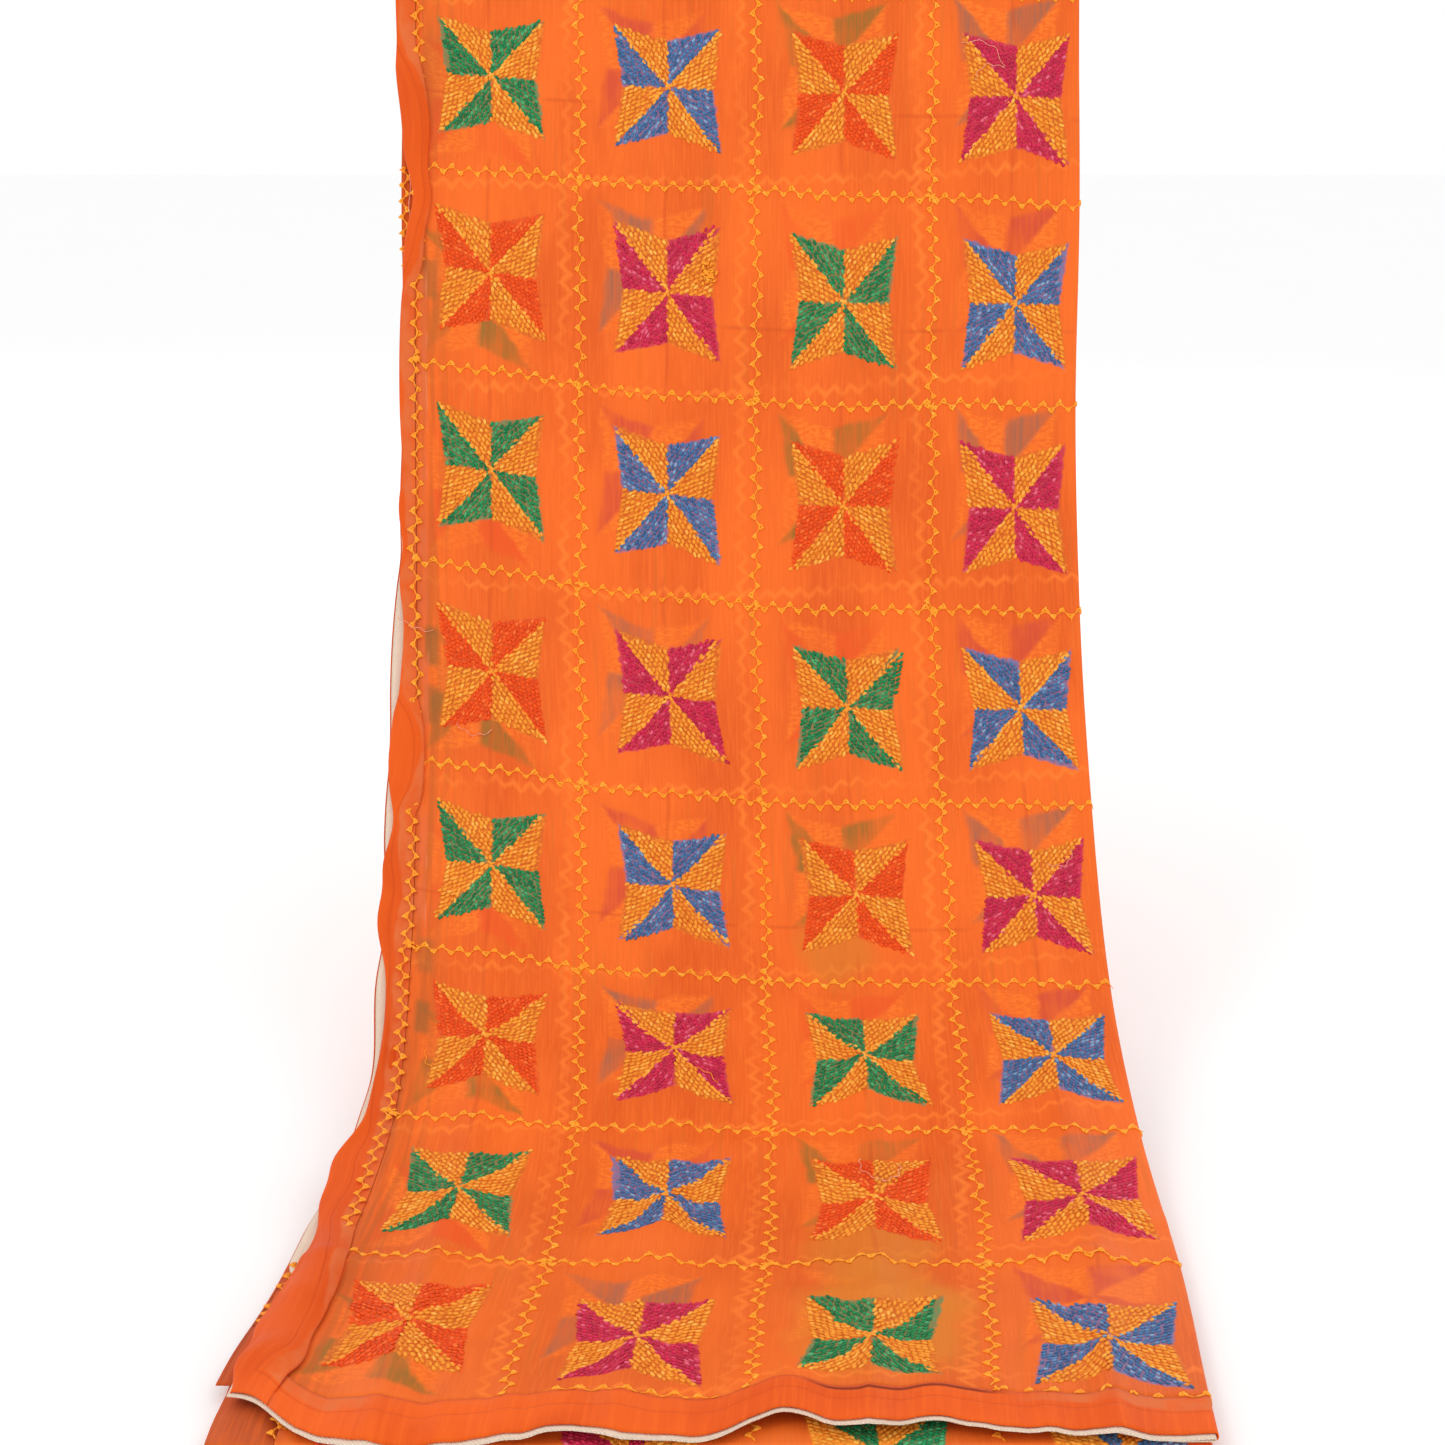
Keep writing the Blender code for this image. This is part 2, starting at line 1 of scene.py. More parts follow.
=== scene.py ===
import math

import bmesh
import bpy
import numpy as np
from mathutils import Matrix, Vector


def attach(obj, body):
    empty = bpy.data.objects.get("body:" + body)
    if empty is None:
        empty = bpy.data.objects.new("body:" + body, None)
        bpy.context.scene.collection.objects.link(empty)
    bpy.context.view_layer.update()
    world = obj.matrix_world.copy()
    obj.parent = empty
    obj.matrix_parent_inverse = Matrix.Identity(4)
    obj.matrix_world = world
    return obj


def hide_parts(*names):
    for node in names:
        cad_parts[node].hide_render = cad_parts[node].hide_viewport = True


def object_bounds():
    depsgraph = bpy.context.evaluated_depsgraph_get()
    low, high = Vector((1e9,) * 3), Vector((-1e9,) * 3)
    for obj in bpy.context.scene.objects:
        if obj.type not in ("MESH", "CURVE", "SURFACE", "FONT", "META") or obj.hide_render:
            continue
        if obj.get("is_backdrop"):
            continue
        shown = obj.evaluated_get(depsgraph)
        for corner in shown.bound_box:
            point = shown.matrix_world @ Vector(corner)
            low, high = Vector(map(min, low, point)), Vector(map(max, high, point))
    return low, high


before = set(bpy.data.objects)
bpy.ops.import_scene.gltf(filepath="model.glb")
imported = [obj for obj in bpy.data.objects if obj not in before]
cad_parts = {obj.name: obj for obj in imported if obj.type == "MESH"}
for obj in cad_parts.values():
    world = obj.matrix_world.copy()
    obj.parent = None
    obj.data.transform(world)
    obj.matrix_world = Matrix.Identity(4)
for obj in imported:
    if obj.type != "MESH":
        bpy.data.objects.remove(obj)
cad_low, cad_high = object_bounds()

# %% [markdown]
# # A stitched shawl hung over a rod
# The real thing is one long sheer cloth with a grid of thread stars. It is folded in half along
# its length and hung double, so four layers hang close together and the front ones run out onto
# the floor. The solids loaded above give the place of each layer. Here every layer gets a finer,
# softer cloth skin, and the stars and the wavy lines are stitched on as real threads.

print("size of the solids in mm:", [round(1000 * (b - a)) for a, b in zip(cad_low, cad_high)])

# %% [markdown]
# ## Camera, floor and light
# The camera stands low in front of the cloth and looks a little down, which is why the rows look
# shorter where the cloth lies on the floor. Three soft lamps and a pale world give even light
# with only weak shadows, as for a shop picture.

# %% Camera, floor and light
FLOOR = -0.6721

camera_data = bpy.data.cameras.new("camera")
camera_data.lens = 65.0
camera_data.sensor_width = 36.0
camera_data.clip_end = 60.0
camera = bpy.data.objects.new("camera", camera_data)
camera.location = (-0.0117, -1.7212, -0.0940)
camera.rotation_euler = (math.radians(90 - 13.96), 0.0, 0.0)
bpy.context.scene.collection.objects.link(camera)
bpy.context.scene.camera = camera


def soft_lamp(name, place, aim, size, power):
    lamp = bpy.data.lights.new(name, "AREA")
    lamp.size = size
    lamp.energy = power
    made = bpy.data.objects.new(name, lamp)
    made.location = place
    made.rotation_euler = (Vector(aim) - Vector(place)).to_track_quat("-Z", "Y").to_euler()
    bpy.context.scene.collection.objects.link(made)
    return made


soft_lamp("key_lamp", (-1.5, -1.9, 1.5), (0, -0.1, -0.3), 0.9, 11.0)
soft_lamp("fill_lamp", (1.9, -1.8, 0.9), (0, -0.1, -0.3), 2.2, 3.5)
soft_lamp("back_lamp", (0.6, 2.4, 1.4), (0, 0, -0.3), 2.0, 9.0)

world = bpy.data.worlds.new("pale_room")
world.use_nodes = True
world.node_tree.nodes["Background"].inputs["Color"].default_value = (1, 1, 1, 1)
world.node_tree.nodes["Background"].inputs["Strength"].default_value = 1.0
bpy.context.scene.world = world
bpy.context.scene.view_settings.view_transform = "Standard"

floor_mesh = bpy.data.meshes.new("floor")
floor_mesh.from_pydata([(-9, -5, FLOOR), (9, -5, FLOOR), (9, 14, FLOOR), (-9, 14, FLOOR)],
                       [], [(0, 1, 2, 3)])
floor = bpy.data.objects.new("floor", floor_mesh)
bpy.context.scene.collection.objects.link(floor)
floor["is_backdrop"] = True
print("camera", tuple(round(c, 3) for c in camera.location), "lens", camera_data.lens)

# %% [markdown]
# ## Sizes of the cloth
# These are the sizes that the cloth was cut and stitched to. The width is counted across from the
# front layer's long edge, the length from the crest of the rod. Most of these names and numbers
# made the solids too. Those of the hem, the edges and the slip were then moved a little after the
# picture, so each skin lies on its solid or within about 16 mm of it.

# %% Sizes of the cloth and of the hang
WALL = 0.001
SKIN = 0.0006           # thickness of the cloth as shown
SEAM = 0.0003
ROW = 0.1264
COLUMN = 0.108
EDGE_COLUMN = 0.100
MIDDLE_COLUMN = 0.0935
BORDER = 0.030
FRONT_WIDTH = 0.437
FRONT_ROWS = 8.5
REAR_ROWS = 9.5
LAYER_SPACE = 0.0029
REAR_SPACE = 0.0010
BACK_HEM_BEHIND = 0.016
TAPE_WIDTH = 0.012
TAPE_SHOWS = 0.0023

U_GRID = BORDER
U_LINE_2 = U_GRID + EDGE_COLUMN
U_LINE_3 = U_LINE_2 + COLUMN
U_LINE_4 = U_LINE_3 + COLUMN
U_MIDDLE = U_LINE_4 + MIDDLE_COLUMN
CLOTH_WIDTH = 2 * U_MIDDLE
BACK_WIDTH = CLOTH_WIDTH - FRONT_WIDTH
FRONT_END = FRONT_ROWS * ROW
REAR_END = REAR_ROWS * ROW

ROD_RADIUS = 0.009
ROD_LENGTH = 0.54
WRAP_RADIUS = ROD_RADIUS + SEAM
LEAN = 16.9
CONVERGE = 5.0
SWEEP_START = 0.308
SWEEP_END = 1.018
PEEK = 1.122
DROOP_RADIUS = 0.030

BACK_MID = SEAM / 2 + WALL / 2
FRONT_MID = BACK_MID + WALL + LAYER_SPACE
FOLD_RADIUS = (FRONT_MID - BACK_MID) / 2
REAR_OUTER_MID = BACK_MID + WALL + REAR_SPACE
REAR_FOLD_RADIUS = (REAR_OUTER_MID - BACK_MID) / 2
BEND_RADIUS = REAR_OUTER_MID + WALL / 2 + 0.0004
REAR_FLAT_WIDTH = FRONT_WIDTH - math.pi * REAR_FOLD_RADIUS / 2
CURL_RADIUS = 0.0011
MERGE = 0.150
BACK_SHARE = 0.3
PAD_LEVEL = 0.014
PAD_SLOPE = 0.016
BACK_PAD_SLOPE = 0.012
REAR_INSET = 0.004
print("whole cloth:", round(CLOTH_WIDTH, 3), "by", round(FRONT_END + REAR_END + 2 * BORDER, 3))

# %% Tables of the hang
HANG = [
    # along, middle_x, spread, slope, fold_out
    (0.0000, 0.0093, 1.024, 0.00, 0.000),
    (0.0632, 0.0093, 1.024, 0.02, 0.000),
    (0.1896, 0.0093, 1.023, 0.06, 0.000),
    (0.3160, 0.0089, 1.018, 0.07, -0.002),
    (0.4424, 0.0091, 1.011, 0.085, 0.000),
    (0.5688, 0.0119, 1.006, 0.075, 0.000),
    (0.6952, 0.0138, 0.992, 0.07, 0.001),
    (0.8216, 0.0147, 0.980, 0.03, 0.004),
    (0.9480, 0.0096, 1.000, 0.02, 0.005),
    (1.0744, -0.0007, 1.000, 0.00, 0.006),
    (1.1100, -0.0030, 1.000, 0.00, 0.006),
]
DRIFT = [
    # along, edges, middle: how far the cloth has slipped down along the fall
    (0.0000, 0.0000, 0.0000),
    (0.1264, -0.0070, -0.0025),
    (0.1896, -0.0060, -0.0030),
    (0.2528, -0.0080, 0.0030),
    (0.3792, -0.0080, 0.0040),
    (0.4424, -0.0070, 0.0065),
    (0.5688, -0.0060, 0.0080),
    (0.6952, -0.0040, 0.0088),
    (0.8216, -0.0020, 0.0070),
    (0.8848, 0.0040, 0.0130),
    (0.9480, 0.0060, 0.0150),
    (1.0112, 0.0100, 0.0170),
    (1.1100, 0.0100, 0.0170),
]
ROLL = [
    # along, cover, puff: how far the front band folds back over the cloth, and its fullness
    (0.0000, 0.0000, 0.0004),
    (0.1050, 0.0000, 0.0006),
    (0.1400, 0.0050, 0.0012),
    (0.1900, 0.0078, 0.0016),
    (0.2350, 0.0060, 0.0012),
    (0.2700, 0.0000, 0.0006),
    (0.5280, 0.0000, 0.0008),
    (0.5500, 0.0044, 0.0014),
    (0.5820, 0.0040, 0.0014),
    (0.6060, 0.0000, 0.0008),
    (0.9200, 0.0000, 0.0010),
    (0.9700, 0.0030, 0.0035),
    (1.0200, 0.0055, 0.0052),
    (1.0650, 0.0040, 0.0036),
    (1.1000, 0.0000, 0.0003),
    (1.1100, 0.0000, 0.0002),
]
EDGES = [
    # along, front_out, back_out, back_flat
    (0.0000, 0.0106, 0.0080, 0.0120),
    (0.0700, 0.0102, 0.0078, 0.0120),
    (0.1500, 0.0082, 0.0078, 0.0120),
    (0.1750, 0.0050, 0.0080, 0.0120),
    (0.1960, 0.0006, 0.0082, 0.0120),
    (0.2300, 0.0012, 0.0080, 0.0125),
    (0.2600, 0.0066, 0.0074, 0.0140),
    (0.3000, 0.0075, 0.0070, 0.0165),
    (0.3600, 0.0080, 0.0078, 0.0225),
    (0.4100, 0.0085, 0.0095, 0.0280),
    (0.4400, 0.0085, 0.0100, 0.0300),
    (0.4600, 0.0082, 0.0125, 0.0300),
    (0.4850, 0.0082, 0.0150, 0.0300),
    (0.5250, 0.0092, 0.0168, 0.0300),
    (0.5500, 0.0115, 0.0166, 0.0300),
    (0.5700, 0.0132, 0.0170, 0.0300),
    (0.5950, 0.0135, 0.0186, 0.0300),
    (0.6250, 0.0145, 0.0190, 0.0300),
    (0.6480, 0.0182, 0.0176, 0.0300),
    (0.6900, 0.0178, 0.0172, 0.0300),
    (0.7150, 0.0142, 0.0195, 0.0300),
    (0.7900, 0.0124, 0.0172, 0.0300),
    (0.8200, 0.0150, 0.0200, 0.0300),
    (0.8420, 0.0208, 0.0210, 0.0300),
    (0.8850, 0.0242, 0.0236, 0.0300),
    (0.9150, 0.0188, 0.0262, 0.0300),
    (0.9450, 0.0170, 0.0264, 0.0300),
    (0.9900, 0.0180, 0.0270, 0.0300),
    (1.0400, 0.0185, 0.0275, 0.0300),
    (1.1100, 0.0185, 0.0275, 0.0300),
]
HEM_REACH = [
    # across, reach, raised
    (0.000, -0.0245, 0.0010),
    (0.022, -0.0215, 0.0000),
    (0.038, -0.0035, 0.0005),
    (0.050, 0.0065, 0.0010),
    (0.064, 0.0125, 0.0015),
    (0.078, 0.0155, 0.0020),
    (0.112, 0.0125, 0.0030),
    (0.140, 0.0080, 0.0045),
    (0.168, 0.0020, 0.0035),
    (0.184, 0.0080, 0.0020),
    (0.200, 0.0045, 0.0015),
    (0.226, 0.0025, 0.0010),
    (0.244, -0.0095, 0.0030),
    (0.258, -0.0145, 0.0040),
    (0.276, -0.0050, 0.0025),
    (0.290, 0.0010, 0.0022),
    (0.320, -0.0080, 0.0020),
    (0.348, 0.0015, 0.0020),
    (0.375, 0.0040, 0.0015),
    (0.400, 0.0095, 0.0010),
    (0.437, 0.0085, 0.0005),
]
CREASES = [
    # across, half_width, top, middle, floor
    (0.076, 0.020, 0.0010, 0.0022, 0.0040),
    (0.184, 0.018, 0.0012, 0.0026, 0.0046),
    (0.292, 0.018, 0.0012, 0.0028, 0.0042),
    (0.397, 0.018, 0.0010, 0.0020, 0.0036),
]
SWELLS = [
    # along, half_width, height, across, half_length
    (0.770, 0.026, 0.0024, 0.120, 0.110),
    (0.865, 0.022, 0.0042, 0.330, 0.100),
    (0.925, 0.022, 0.0034, 0.180, 0.090),
    (0.985, 0.024, 0.0046, 0.290, 0.130),
    (1.035, 0.018, 0.0032, 0.090, 0.080),
    (0.960, 0.012, 0.0026, 0.050, 0.050),
    (1.000, 0.010, 0.0024, 0.060, 0.045),
    (0.835, 0.012, 0.0028, 0.240, 0.080),
    (0.905, 0.014, 0.0036, 0.402, 0.050),
    (0.745, 0.012, 0.0020, 0.380, 0.060),
    (0.945, 0.014, 0.0050, 0.385, 0.035),
    (0.950, 0.014, 0.0034, 0.275, 0.040),
]
PRESSED_ACROSS = (0.0745, 0.1825, 0.2905, 0.3955)   # creases that run along the cloth
PRESSED_ALONG = (0.139, 0.270, 0.655)               # creases that run across it
print("table rows:", sum(len(t) for t in (HANG, DRIFT, ROLL, EDGES, HEM_REACH, CREASES, SWELLS)))

# %% [markdown]
# ## Smooth curves from short tables
# Cloth has no straight edges, so each table is read through a smooth curve. `ease` starts and
# ends a change softly, and `bump` is one soft ridge. A simulation could make the drape, but here
# the fold lines are known from the picture, so listing them keeps them where they belong.

# %% Curve helpers


def column_of(rows, index):
    return np.array([row[index] for row in rows], dtype=float)


def eased(rows, index, at):
    """Smooth curve through one column of a table, read at the given places."""
    xs, ys = column_of(rows, 0), column_of(rows, index)
    slope = np.gradient(ys, xs)
    at = np.clip(np.asarray(at, dtype=float), xs[0], xs[-1])
    k = np.clip(np.searchsorted(xs, at) - 1, 0, len(xs) - 2)
    step = xs[k + 1] - xs[k]
    t = (at - xs[k]) / step
    ends = ys[k] * (2 * t**3 - 3 * t**2 + 1) + ys[k + 1] * (3 * t**2 - 2 * t**3)
    return ends + step * (slope[k] * (t**3 - 2 * t**2 + t) + slope[k + 1] * (t**3 - t**2))


def ease(t):
    t = np.clip(t, 0.0, 1.0)
    return t * t * (3 - 2 * t)


def bump(distance, half_width):
    t = np.clip(np.abs(distance) / half_width, 0.0, 1.0)
    return 0.5 + 0.5 * np.cos(math.pi * t)


print("a soft ridge at its top, halfway down and at its foot:",
      [round(float(bump(d, 1.0)), 2) for d in (0.0, 0.5, 1.0)])

# %% [markdown]
# ## The two paths that the cloth follows
# Seen from the side, the front half goes over the rod, down a leaning fall and out over the
# floor, and the rear half follows it. Each is a line in the YZ plane with a normal at each point.
# Anything on the cloth is then placed by three numbers: x, distance along the line, and height.

# %% Paths


class Path:
    def __init__(self, points, side):
        points = np.array(points)
        steps = np.linalg.norm(np.diff(points, axis=0), axis=1)
        self.along = np.concatenate([[0.0], np.cumsum(steps)])
        self.points = points
        tangent = np.gradient(points, self.along, axis=0)
        tangent /= np.linalg.norm(tangent, axis=1)[:, None]
        self.normals = side * np.stack([tangent[:, 1], -tangent[:, 0]], axis=1)
        self.length = self.along[-1]

    def at(self, s):
        s = np.clip(s, 0.0, self.length)
        point = [np.interp(s, self.along, self.points[:, i]) for i in (0, 1)]
        normal = [np.interp(s, self.along, self.normals[:, i]) for i in (0, 1)]
        size = np.hypot(normal[0], normal[1])
        return point[0], point[1], normal[0] / size, normal[1] / size


def front_path():
    step = 0.0005
    s = np.arange(0.0, 1.2, step)
    start_angle = LEAN - CONVERGE
    wrap = WRAP_RADIUS * math.radians(90 - start_angle)
    angle = np.where(s < wrap, 90 - np.degrees(s / WRAP_RADIUS), start_angle)
    angle = np.where(s >= wrap, start_angle + CONVERGE * ease((s - wrap - 0.07) / 0.05), angle)
    angle = angle + (90 - LEAN) * ease((s - SWEEP_START) / (SWEEP_END - SWEEP_START))
    angle = angle - np.degrees(np.maximum(s - PEEK, 0.0) / DROOP_RADIUS)
    turn = np.radians(angle)
    y = np.concatenate([[0.0], -np.cumsum(np.sin(turn[:-1])) * step])
    z = WRAP_RADIUS + np.concatenate([[0.0], -np.cumsum(np.cos(turn[:-1])) * step])
    return Path(np.stack([y, z], axis=1), 1.0)


def rear_path(front):
    finish = math.radians(-(LEAN + CONVERGE))
    wrap = [(WRAP_RADIUS * math.cos(a), WRAP_RADIUS * math.sin(a))
            for a in np.linspace(math.pi / 2, finish, 40)]
    py, pz, ny, nz = front.at(np.arange(MERGE, PEEK, 0.001))
    follow = np.stack([py - SEAM * ny, pz - SEAM * nz], axis=1)
    start = np.array(wrap[-1])
    lead = np.array([-math.sin(-finish), -math.cos(-finish)])
    arrive = follow[1] - follow[0]
    arrive /= np.linalg.norm(arrive)
    reach = np.linalg.norm(follow[0] - start)
    blend = []
    for t in np.linspace(0, 1, 40)[1:-1]:
        blend.append(start * (2 * t**3 - 3 * t**2 + 1) + follow[0] * (3 * t**2 - 2 * t**3)
                     + reach * (lead * (t**3 - 2 * t**2 + t) + arrive * (t**3 - t**2)))
    centre = follow[-1] + np.array([0.0, -BEND_RADIUS])
    bend = [centre + BEND_RADIUS * np.array([-math.sin(a), math.cos(a)])
            for a in np.linspace(0, math.pi, 30)[1:]]
    under = [bend[-1] + np.array([d, 0.0]) for d in np.arange(0.001, 0.16, 0.001)]
    return Path(np.concatenate([wrap, blend, follow, bend, under]), -1.0)


FRONT_PATH = front_path()
REAR_PATH = rear_path(FRONT_PATH)
REAR_BEND_START = float(REAR_PATH.along[np.argmin(REAR_PATH.points[:, 0])]) \
    - math.pi * BEND_RADIUS / 2
print("front path", round(FRONT_PATH.length, 3), "rear path", round(REAR_PATH.length, 3))

# %% [markdown]
# ## Placing a point of the cloth
# Each layer has a function that takes u, the place across the cloth, and v, the place along it,
# and gives the point in space. The stitches use the same functions later, so they always sit on
# the cloth. The crinkles below are small: a sheer crepe shows many short, shallow ones that run
# mostly along its length.

# %% Placing functions


def grid_x(along):
    return eased(HANG, 1, along) - (U_LINE_3 - U_GRID) * eased(HANG, 2, along)


def fold_x(along):
    spread = eased(HANG, 2, along)
    out = eased(HANG, 4, along)
    return eased(HANG, 1, along) + (U_LINE_4 - U_LINE_3 + 0.088) * spread + out


def drift(u, v):
    edges = eased(DRIFT, 1, v)
    return edges + (eased(DRIFT, 2, v) - edges) * bump(u - 0.225, 0.26)


def path_length(u, v):
    slope = eased(HANG, 3, v) * (u - U_LINE_3)
    reach = eased(HEM_REACH, 1, u) * ease((v - FRONT_END + 0.11) / 0.14)
    return v + slope + reach + drift(u, v)


def back_path_length(u, v):
    slope = eased(HANG, 3, v) * (u - U_LINE_3)
    reach = eased(HEM_REACH, 1, u) - BACK_HEM_BEHIND * ease((FRONT_WIDTH - u) / 0.08)
    return v + slope + reach * ease((v - FRONT_END + 0.11) / 0.14) + drift(u, v)


def front_lift(u, v):
    lift = 0.0
    for across, half, top, middle, floor_height in CREASES:
        upper = top + (middle - top) * ease(v / 0.55)
        height = upper + (floor_height - middle) * ease((v - 0.55) / 0.35)
        lift = lift + height * bump(u - across, half)
    for along, half, height, across, half_length in SWELLS:
        lift = lift + height * bump(v - along, half) * bump(u - across, half_length)
    lift = lift + eased(HEM_REACH, 2, u) * ease((v - FRONT_END + 0.05) / 0.06)
    return lift * ease((v - 0.012) / 0.05)


def tuck_lift(inside, v, level, slope):
    rest = np.maximum(BORDER - eased(EDGES, 3, v), 0.0)
    turned = np.minimum(rest / CURL_RADIUS, math.pi)
    return CURL_RADIUS * (1 - np.cos(turned)) * ease((level + slope - inside) / slope)


def edge_puff(u, v):
    near = ease((U_GRID + 0.016 - u) / 0.016) * ease((v - 0.012) / 0.05)
    return (0.0014 + 0.0008 * np.sin(v * 31.0) ** 2) * near


def crinkle(u, v):
    """Small uneven waves of the front layer, mostly lengthwise, stronger low down."""
    wander = 0.010 * np.sin(v * 9.0 + 1.0) + 0.006 * np.sin(v * 23.0)
    waves = np.sin((u + wander) * 265.0 + 1.3 * np.sin(v * 14.0))
    waves = waves + 0.7 * np.sin((u - wander) * 431.0 + 2.0 * np.sin(v * 11.0 + 2.0))
    swing = 0.55 + 0.45 * np.sin(v * 17.0 + 3.0 * np.sin(u * 19.0))
    cross = np.sin(v * 190.0 + 2.2 * np.sin(u * 31.0)) * (0.4 + 0.6 * np.sin(u * 27.0 + 1.0))
    size = 0.00022 + 0.00022 * ease((v - 0.55) / 0.3)
    edge = ease((u - U_GRID) / 0.02) * ease((FRONT_WIDTH - 0.008 - u) / 0.02)
    pressed = 0.0
    for across in PRESSED_ACROSS:
        fade = 0.55 + 0.45 * np.sin(v * 21.0 + across * 60.0)
        pressed = pressed + fade * bump(u - across - 0.0016 * np.sin(v * 13.0 + across * 90.0), 0.0042)
    for along in PRESSED_ALONG:
        pressed = pressed + 0.5 * bump(v - along - 0.0010 * np.sin(u * 60.0), 0.0036)
    waves = size * waves * swing + 0.6 * size * cross + 0.0008 * pressed
    return waves * edge * ease((v - 0.012) / 0.05)


def on_path(path, x, s, n):
    y, z, ny, nz = path.at(s)
    return np.stack([x + 0 * s, y + n * ny, z + n * nz], axis=-1)


def front_height(u, v):
    pad = tuck_lift(u - U_GRID, v, PAD_LEVEL, PAD_SLOPE)
    return FRONT_MID + front_lift(u, v) + pad + edge_puff(u, v) + crinkle(u, v)


def front_layer(u, v):
    s = path_length(u, v)
    spread = eased(HANG, 2, v)
    x = eased(HANG, 1, v) + (u - U_LINE_3) * spread
    x = x + eased(HANG, 4, v) * ease((u - U_LINE_4) / 0.088)
    return on_path(FRONT_PATH, x, s, front_height(u, v))


def back_grid_x(v):
    return grid_x(v) - eased(EDGES, 2, v) + eased(EDGES, 3, v)


def back_ground_x(u, v):
    start = back_grid_x(v)
    span = BACK_WIDTH - math.pi * FOLD_RADIUS / 2 - U_GRID
    return start + (u - U_GRID) / span * (fold_x(v) - start)


def back_layer(u, v):
    x = back_ground_x(u, v)
    u_front = U_LINE_3 + (x - eased(HANG, 1, v)) / eased(HANG, 2, v)
    u_front = np.clip(u_front, 0.0, FRONT_WIDTH)
    s = back_path_length(u_front, v)
    pad = tuck_lift(u - U_GRID, v, 0.0, BACK_PAD_SLOPE)
    n = BACK_MID + BACK_SHARE * front_lift(u_front, v) + pad
    return on_path(FRONT_PATH, x, s, n)


def front_fold(angle, v):
    u = FRONT_WIDTH - math.pi * FOLD_RADIUS / 2
    s = path_length(u, v)
    upper = FRONT_MID + front_lift(u, v)
    lower = BACK_MID + BACK_SHARE * front_lift(u, v)
    x = fold_x(v) + FOLD_RADIUS * np.sin(angle)
    n = (upper + lower) / 2 + (upper - lower) / 2 * np.cos(angle)
    return on_path(FRONT_PATH, x, s, n)


def front_outside(u, v):
    """The front layer with the first half of the lengthwise fold."""
    turn = FRONT_WIDTH - math.pi * FOLD_RADIUS / 2
    angle = np.clip((u - turn) / FOLD_RADIUS, 0.0, math.pi / 2)
    flat = front_layer(np.minimum(u, turn), v)
    return np.where((u > turn)[:, None], front_fold(angle, v), flat)


def tucked_border(across, flat):
    rest = np.maximum(across - flat, 0.0)
    angle = np.minimum(rest / CURL_RADIUS, math.pi)
    back = np.maximum(rest - math.pi * CURL_RADIUS, 0.0)
    out = np.minimum(across, flat) + CURL_RADIUS * np.sin(angle) - back
    return out, CURL_RADIUS * (1 - np.cos(angle))


def rear_x(u, s):
    at = np.minimum(s, PEEK)
    left = grid_x(at) - eased(EDGES, 2, at) + REAR_INSET
    right = fold_x(at) - WALL
    return left + u / REAR_FLAT_WIDTH * (right - left)


def rear_layer(u, v, outer):
    n = REAR_OUTER_MID if outer else BACK_MID
    return on_path(REAR_PATH, rear_x(u, v), v, n + 0 * v)


def rear_fold(angle, v):
    x = rear_x(REAR_FLAT_WIDTH, v) + REAR_FOLD_RADIUS * math.sin(angle)
    n = (REAR_OUTER_MID + BACK_MID) / 2 + REAR_FOLD_RADIUS * math.cos(angle)
    return on_path(REAR_PATH, x, v, n + 0 * v)


def back_border_line(rows, out, depth):
    x = back_grid_x(rows) - out
    u = np.clip(U_GRID + (x - grid_x(rows)), 0.0, FRONT_WIDTH)
    pad = tuck_lift(np.maximum(-out, 0.0), rows, 0.0, BACK_PAD_SLOPE)
    n = BACK_MID + BACK_SHARE * front_lift(u, rows) + pad
    return on_path(FRONT_PATH, x, back_path_length(u, rows), n - depth)


middle = front_layer(np.array([U_LINE_3]), np.array([0.6]))[0]
print("middle of the front layer at 0.6 m:", [round(float(c), 4) for c in middle])

# %% [markdown]
# ## Building a thin cloth skin
# A grid of points becomes a closed thin skin: one face on each side and a rim round the edge.
# Solidify would do the same, but here each corner also keeps its flat place on the cloth in a UV
# map called `cloth`, in metres, so every pattern can be drawn where it was woven or stitched.

# %% Cloth skins


def cloth_normals(middle):
    down = np.gradient(middle, axis=0)
    across = np.gradient(middle, axis=1)
    normal = np.cross(across, down)
    return normal / np.linalg.norm(normal, axis=2)[:, :, None]


